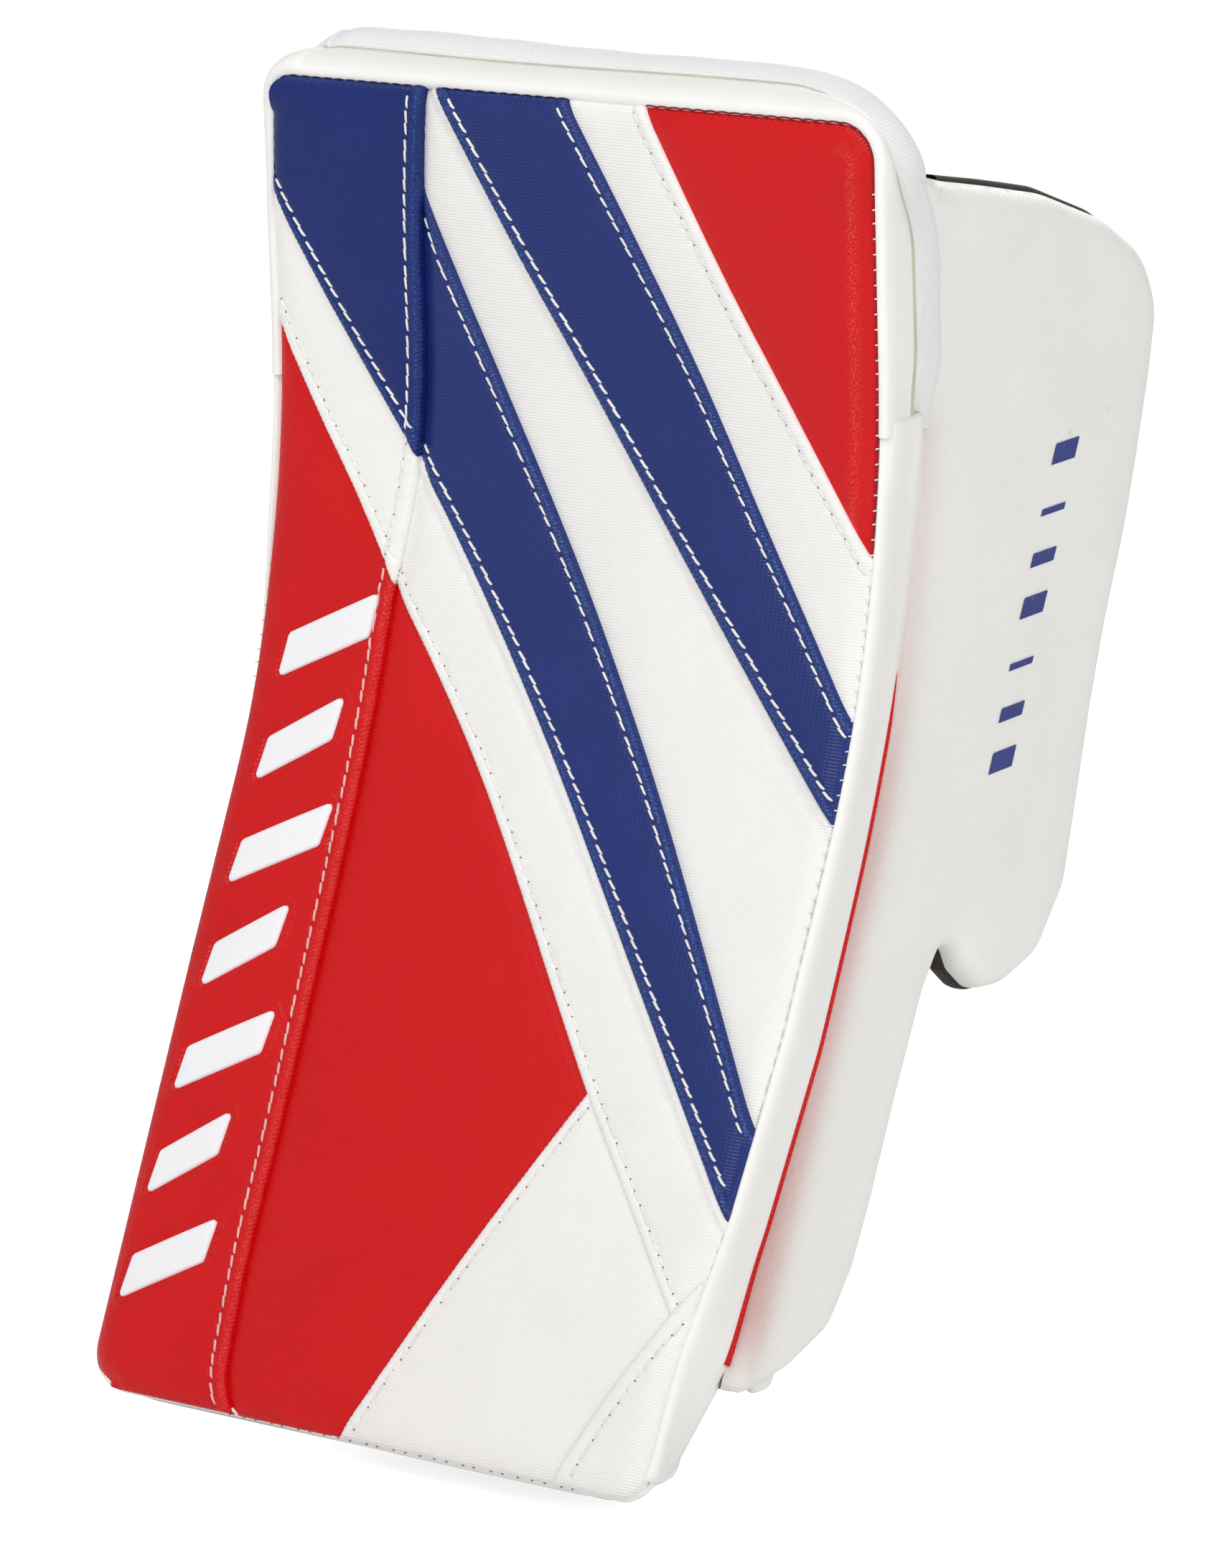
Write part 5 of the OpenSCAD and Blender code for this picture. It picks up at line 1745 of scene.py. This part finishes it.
class Strap:
    """A strap across the arm at height s on the board's face, on a ring at the far end of its anchor."""

    THICK = 1.7
    BAND_THICK = 1.75
    SEAM_LIFT = 0.88    # of the stitches from the middle of the band
    SAG = 1.0

    def __init__(self, name, s, width, arm):
        self.name, self.s, self.width, self.arm = name, s, width, arm
        self.a = float(bend(s))
        self.across = np.array([0, -math.sin(self.a), math.cos(self.a)])
        self.bar, self.pivot = (59.0, arm - 4.0), (52.0, arm + 5.0)
        self.top = arm + 8.1

    def place(self, x, n, w):
        """Upright millimetres from x, depth n behind the face and w up the face from the strap's middle."""
        x, n, w = np.broadcast_arrays(*(np.asarray(t, float) for t in (x, n, w)))
        sin, cos = math.sin(self.a), math.cos(self.a)
        return np.stack([x, face_y(self.s) + n * cos - w * sin, face_z(self.s) + n * sin + w * cos], -1)

    def lift(self, q):
        """Upright millimetres of (x, n) points on the strap's middle line."""
        q = np.array(q)
        return self.place(q[:, 0], q[:, 1], 0)

    def web(self, part, path):
        """A length of black webbing along (x, n) points."""
        ribbon(f"{self.name}_{part}_web", self.lift(path), self.across, self.width, self.THICK, WEBBING,
               "board", [f"{self.name}_{part}"])

    def pile(self, part, x, side, n0, n1, spare, body):
        """A patch of hook or loop on a web that stands at x, facing side."""
        half = self.width / 2 - spare
        plate(f"{self.name}_{part}_pile", box_outline(n0, n1, -half, half, 2),
              lambda p, h: self.place(x + side * h, p[:, 0], p[:, 1]), 0.95, HOOK, body,
              [f"{self.name}_{part}_patch"], pitch=2.6)

    def anchor(self):
        """Sewn to the back, up and round the ring's outer bar."""
        arm, half = self.arm, self.width / 2
        web = list(rounded_path([(50.6, 26.1), (54.0, 26.1), (56.0, 27.4), (56.0, arm - 12)], 1.8))
        web += arc_points(*self.bar, 3.0, 180, -70) + [(57.9, arm - 10.5), (57.6, arm - 18)]
        self.web("anchor", resample(np.array(web), 0.8))
        w = np.arange(3 - half, half - 3 + 0.1, 0.7)
        left = np.tile([-1.0, 0, 0], (len(w), 1))
        rows = [(self.place(54.93, n, w), left) for n in (30.5, 33.5, arm - 17, arm - 13)]
        grey_seam(f"{self.name}_anchor_stitches", rows, 3.2, 2.4, 0.28, 0.2)

    def ring(self):
        """The moulded rectangular ring between its two bars."""
        bar, step = np.array(self.bar), np.array(self.pivot) - self.bar
        reach, half = np.linalg.norm(step), self.width / 2 + 3
        line = closed(box_outline(0, reach, -half, half, 2.6, 0.9))
        line = np.vstack([line, line[1:2]])
        q = bar + line[:, :1] * step / reach
        cord(f"{self.name}_frame", self.place(q[:, 0], q[:, 1], line[:, 1]), 1.75, RING,
             [f"{self.name}_ring"], sides=12)

    def tab(self):
        """The landing tab with its loop pile."""
        self.web("tab", rounded_path([(-53.2, 26.1), (-57.0, 26.1), (-57.0, self.arm - 9.2)], 1.8))
        self.pile("loop", -58.0, -1, 33, self.arm - 12, 2, "board")

    def run(self, x):
        """The band's depth where it crosses the arm."""
        return self.top - self.SAG * np.sin(math.pi * (x + 46.5) / 98.5) ** 2

    def band(self):
        """Round the pivot bar, across the arm and down over the tab."""
        arm, top, half, body = self.arm, self.top, self.width / 2, f"{self.name}_strap"
        path = [(24, arm + 6.15), (34, arm + 6.1), (42, arm + 4.6), (47.6, arm + 2.5)]
        path += arc_points(*self.pivot, 3.1, -110, 90) + [(x, self.run(x)) for x in np.linspace(50, -44, 40)]
        path += arc_points(-46.5, top - 14.9, 14.9, 90, 180)
        path += [(-61.4, n) for n in np.arange(top - 18, 35, -3.0)]
        path = resample(np.array(path), 1.0)
        line = self.lift(path)
        up = ribbon(f"{self.name}_band", line, self.across, self.width, self.BAND_THICK, STRAP,
                    body, [body])
        start = int(np.argmin(np.abs(path[:, 0] - 44) + (path[:, 1] < top - 2) * 99))
        back = self.place(0, 1, 0) - self.place(0, 0, 0)
        line, up = line[start:-3], up[start:-3] * (1 if up[start + 20] @ back > 0 else -1)
        edge = self.across * (half - 2.6)
        sewn = [(line + edge * side + up * self.SEAM_LIFT, up) for side in (-1, 1)]
        w = np.arange(3 - half, half - 3, 0.7)
        back = np.tile(back, (len(w), 1))
        sewn += [(self.place(x, self.run(x) + self.SEAM_LIFT, w), back) for x in (30, 27)]
        sew(f"{self.name}_band_stitches", sewn, 3.7, 3.0, 0.3, 0.3, THREAD, body=body)
        self.pile("hook", -60.5, 1, 39, arm - 13, 3, body)


for strap in (Strap("wrist", 203.0, 34.0, 72.0), Strap("cuff", 285.0, 40.0, 92.0)):
    strap.anchor()
    strap.ring()
    strap.tab()
    strap.band()


# ---- the strip that hinges the sidewall, and the wall's lower tab ---------------------
def build_hinge():
    """The webbing from the board's back to the sidewall, with its two stitch rows."""
    ss = np.arange(38, 338.1, 2.5)
    line = spline([(64.0, 25.15), (64.2, 26.0), (72, 26.3), (79, 26.6), (82.0, 28.2), (83.0, 31.5),
                   (83.3, 37), (83.5, 41)], 1.2)
    x, n = line.T
    front = surf(x, ss[:, None], n).reshape(-1, 3)
    rear = surf(x + 0.3, ss[:, None], n - 0.7).reshape(-1, 3)
    uv = grid_uv(ss, lengths(line))
    faces = two_sided(grid_faces(len(ss), len(line)), len(front))
    turned_piece("hinge_webbing", np.vstack([front, rear]), faces, WEBBING, "board",
                 ["hinge_strip"], flex(), uv=np.vstack([uv, uv]))
    sewn = [back_row(x, np.linspace(42, 334, 300), 26.35) for x in (67.0, 74.0)]
    grey_seam("hinge_stitches", sewn, 4.0, 3.0, 0.28, 0.2)


def on_wall_inside(p, h):
    """(y, z) against the wall's inner face."""
    return np.stack([79.55 + h + 0 * p[:, 0], p[:, 0], p[:, 1]], 1)


build_hinge()
TAB = [(46, 62, 1.5), (45.5, 38.0, 3.5), (50, 36.0, 4), (56.5, 39.0, 4.5), (58, 62, 1.5)]
plate("wall_lower_tab", rounded(TAB, 1.0), on_wall_inside, 4.4, WHITE_SOFT, "sidewall",
      ["sidewall_tab"], pitch=2.5)


# ---- floor, light and camera ----------------------------------------------------------
AMBIENT = 0.40


def build_stage():
    """A pale floor just under the part, a white world and three soft lights."""
    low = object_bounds()[0][2]
    size, gap = 9.0, 0.004
    me = bpy.data.meshes.new("floor")
    corners = ((-size, -size), (size, -size), (size, size), (-size, size))
    me.from_pydata([(x, y, low - gap) for x, y in corners], [], [(0, 1, 2, 3)])
    floor = bpy.data.objects.new("floor", me)
    bpy.context.scene.collection.objects.link(floor)
    n = Nodes("floor_pale")
    seen = n.add("LightPath").outputs["Is Camera Ray"]
    n.surface(base_color=(0.93, 0.93, 0.93, 1), roughness=0.9, specular_IOR_level=0.0,
              emission_color=(1, 1, 1, 1), emission_strength=n.times(seen, 0.72))
    me.materials.append(n.mat)
    studio = bpy.data.worlds.new("studio")
    bpy.context.scene.world = studio
    studio.use_nodes = True
    tree = studio.node_tree
    back = tree.nodes["Background"]
    back.inputs["Color"].default_value = (1, 1, 1, 1)
    path = tree.nodes.new("ShaderNodeLightPath")
    level = tree.nodes.new("ShaderNodeMapRange")
    level.inputs["To Min"].default_value = AMBIENT
    level.inputs["To Max"].default_value = 1.0
    tree.links.new(path.outputs["Is Camera Ray"], level.inputs["Value"])
    tree.links.new(level.outputs[0], back.inputs["Strength"])

    def soft_light(name, place, aim, size, power):
        data = bpy.data.lights.new(name, "AREA")
        data.shape, data.size, data.energy = "DISK", size, power
        ob = bpy.data.objects.new(name, data)
        ob.location = place
        ob.rotation_euler = (Vector(aim) - Vector(place)).to_track_quat("-Z", "Y").to_euler()
        bpy.context.scene.collection.objects.link(ob)

    aim = (0.0, 0.0, 0.02)
    soft_light("key", (-0.2, -2.0, 1.7), aim, 1.5, 27)
    soft_light("fill", (2.0, -0.9, 0.7), aim, 1.4, 15)
    soft_light("back", (-0.6, 1.9, 1.5), aim, 1.5, 16)


def build_camera():
    """The photograph's viewpoint: its direction, its turn about the line of sight and its distance."""
    distance_to_aim = 2.0655
    data = bpy.data.cameras.new("photo_view")
    data.sensor_fit, data.sensor_width, data.sensor_height = "VERTICAL", 36.0, 36.0
    data.lens = 178.3
    data.clip_start, data.clip_end = 0.1, 50
    cam = bpy.data.objects.new("photo_view", data)
    az, el, turn = math.radians(36.31), math.radians(3.41), math.radians(6.09)
    forward = Vector((-math.sin(az) * math.cos(el), math.cos(az) * math.cos(el), -math.sin(el)))
    side = Vector((math.cos(az), math.sin(az), 0))
    up = side.cross(forward)
    right = side * math.cos(turn) + up * math.sin(turn)
    up = right.cross(forward)
    aim = Vector((0.01368, -0.03399, 0.01712))
    m = Matrix((right, up, -forward)).transposed().to_4x4()
    m.translation = aim - forward * distance_to_aim
    cam.matrix_world = m
    bpy.context.scene.collection.objects.link(cam)
    bpy.context.scene.camera = cam


build_stage()
build_camera()
bpy.context.scene.view_settings.view_transform = "Standard"
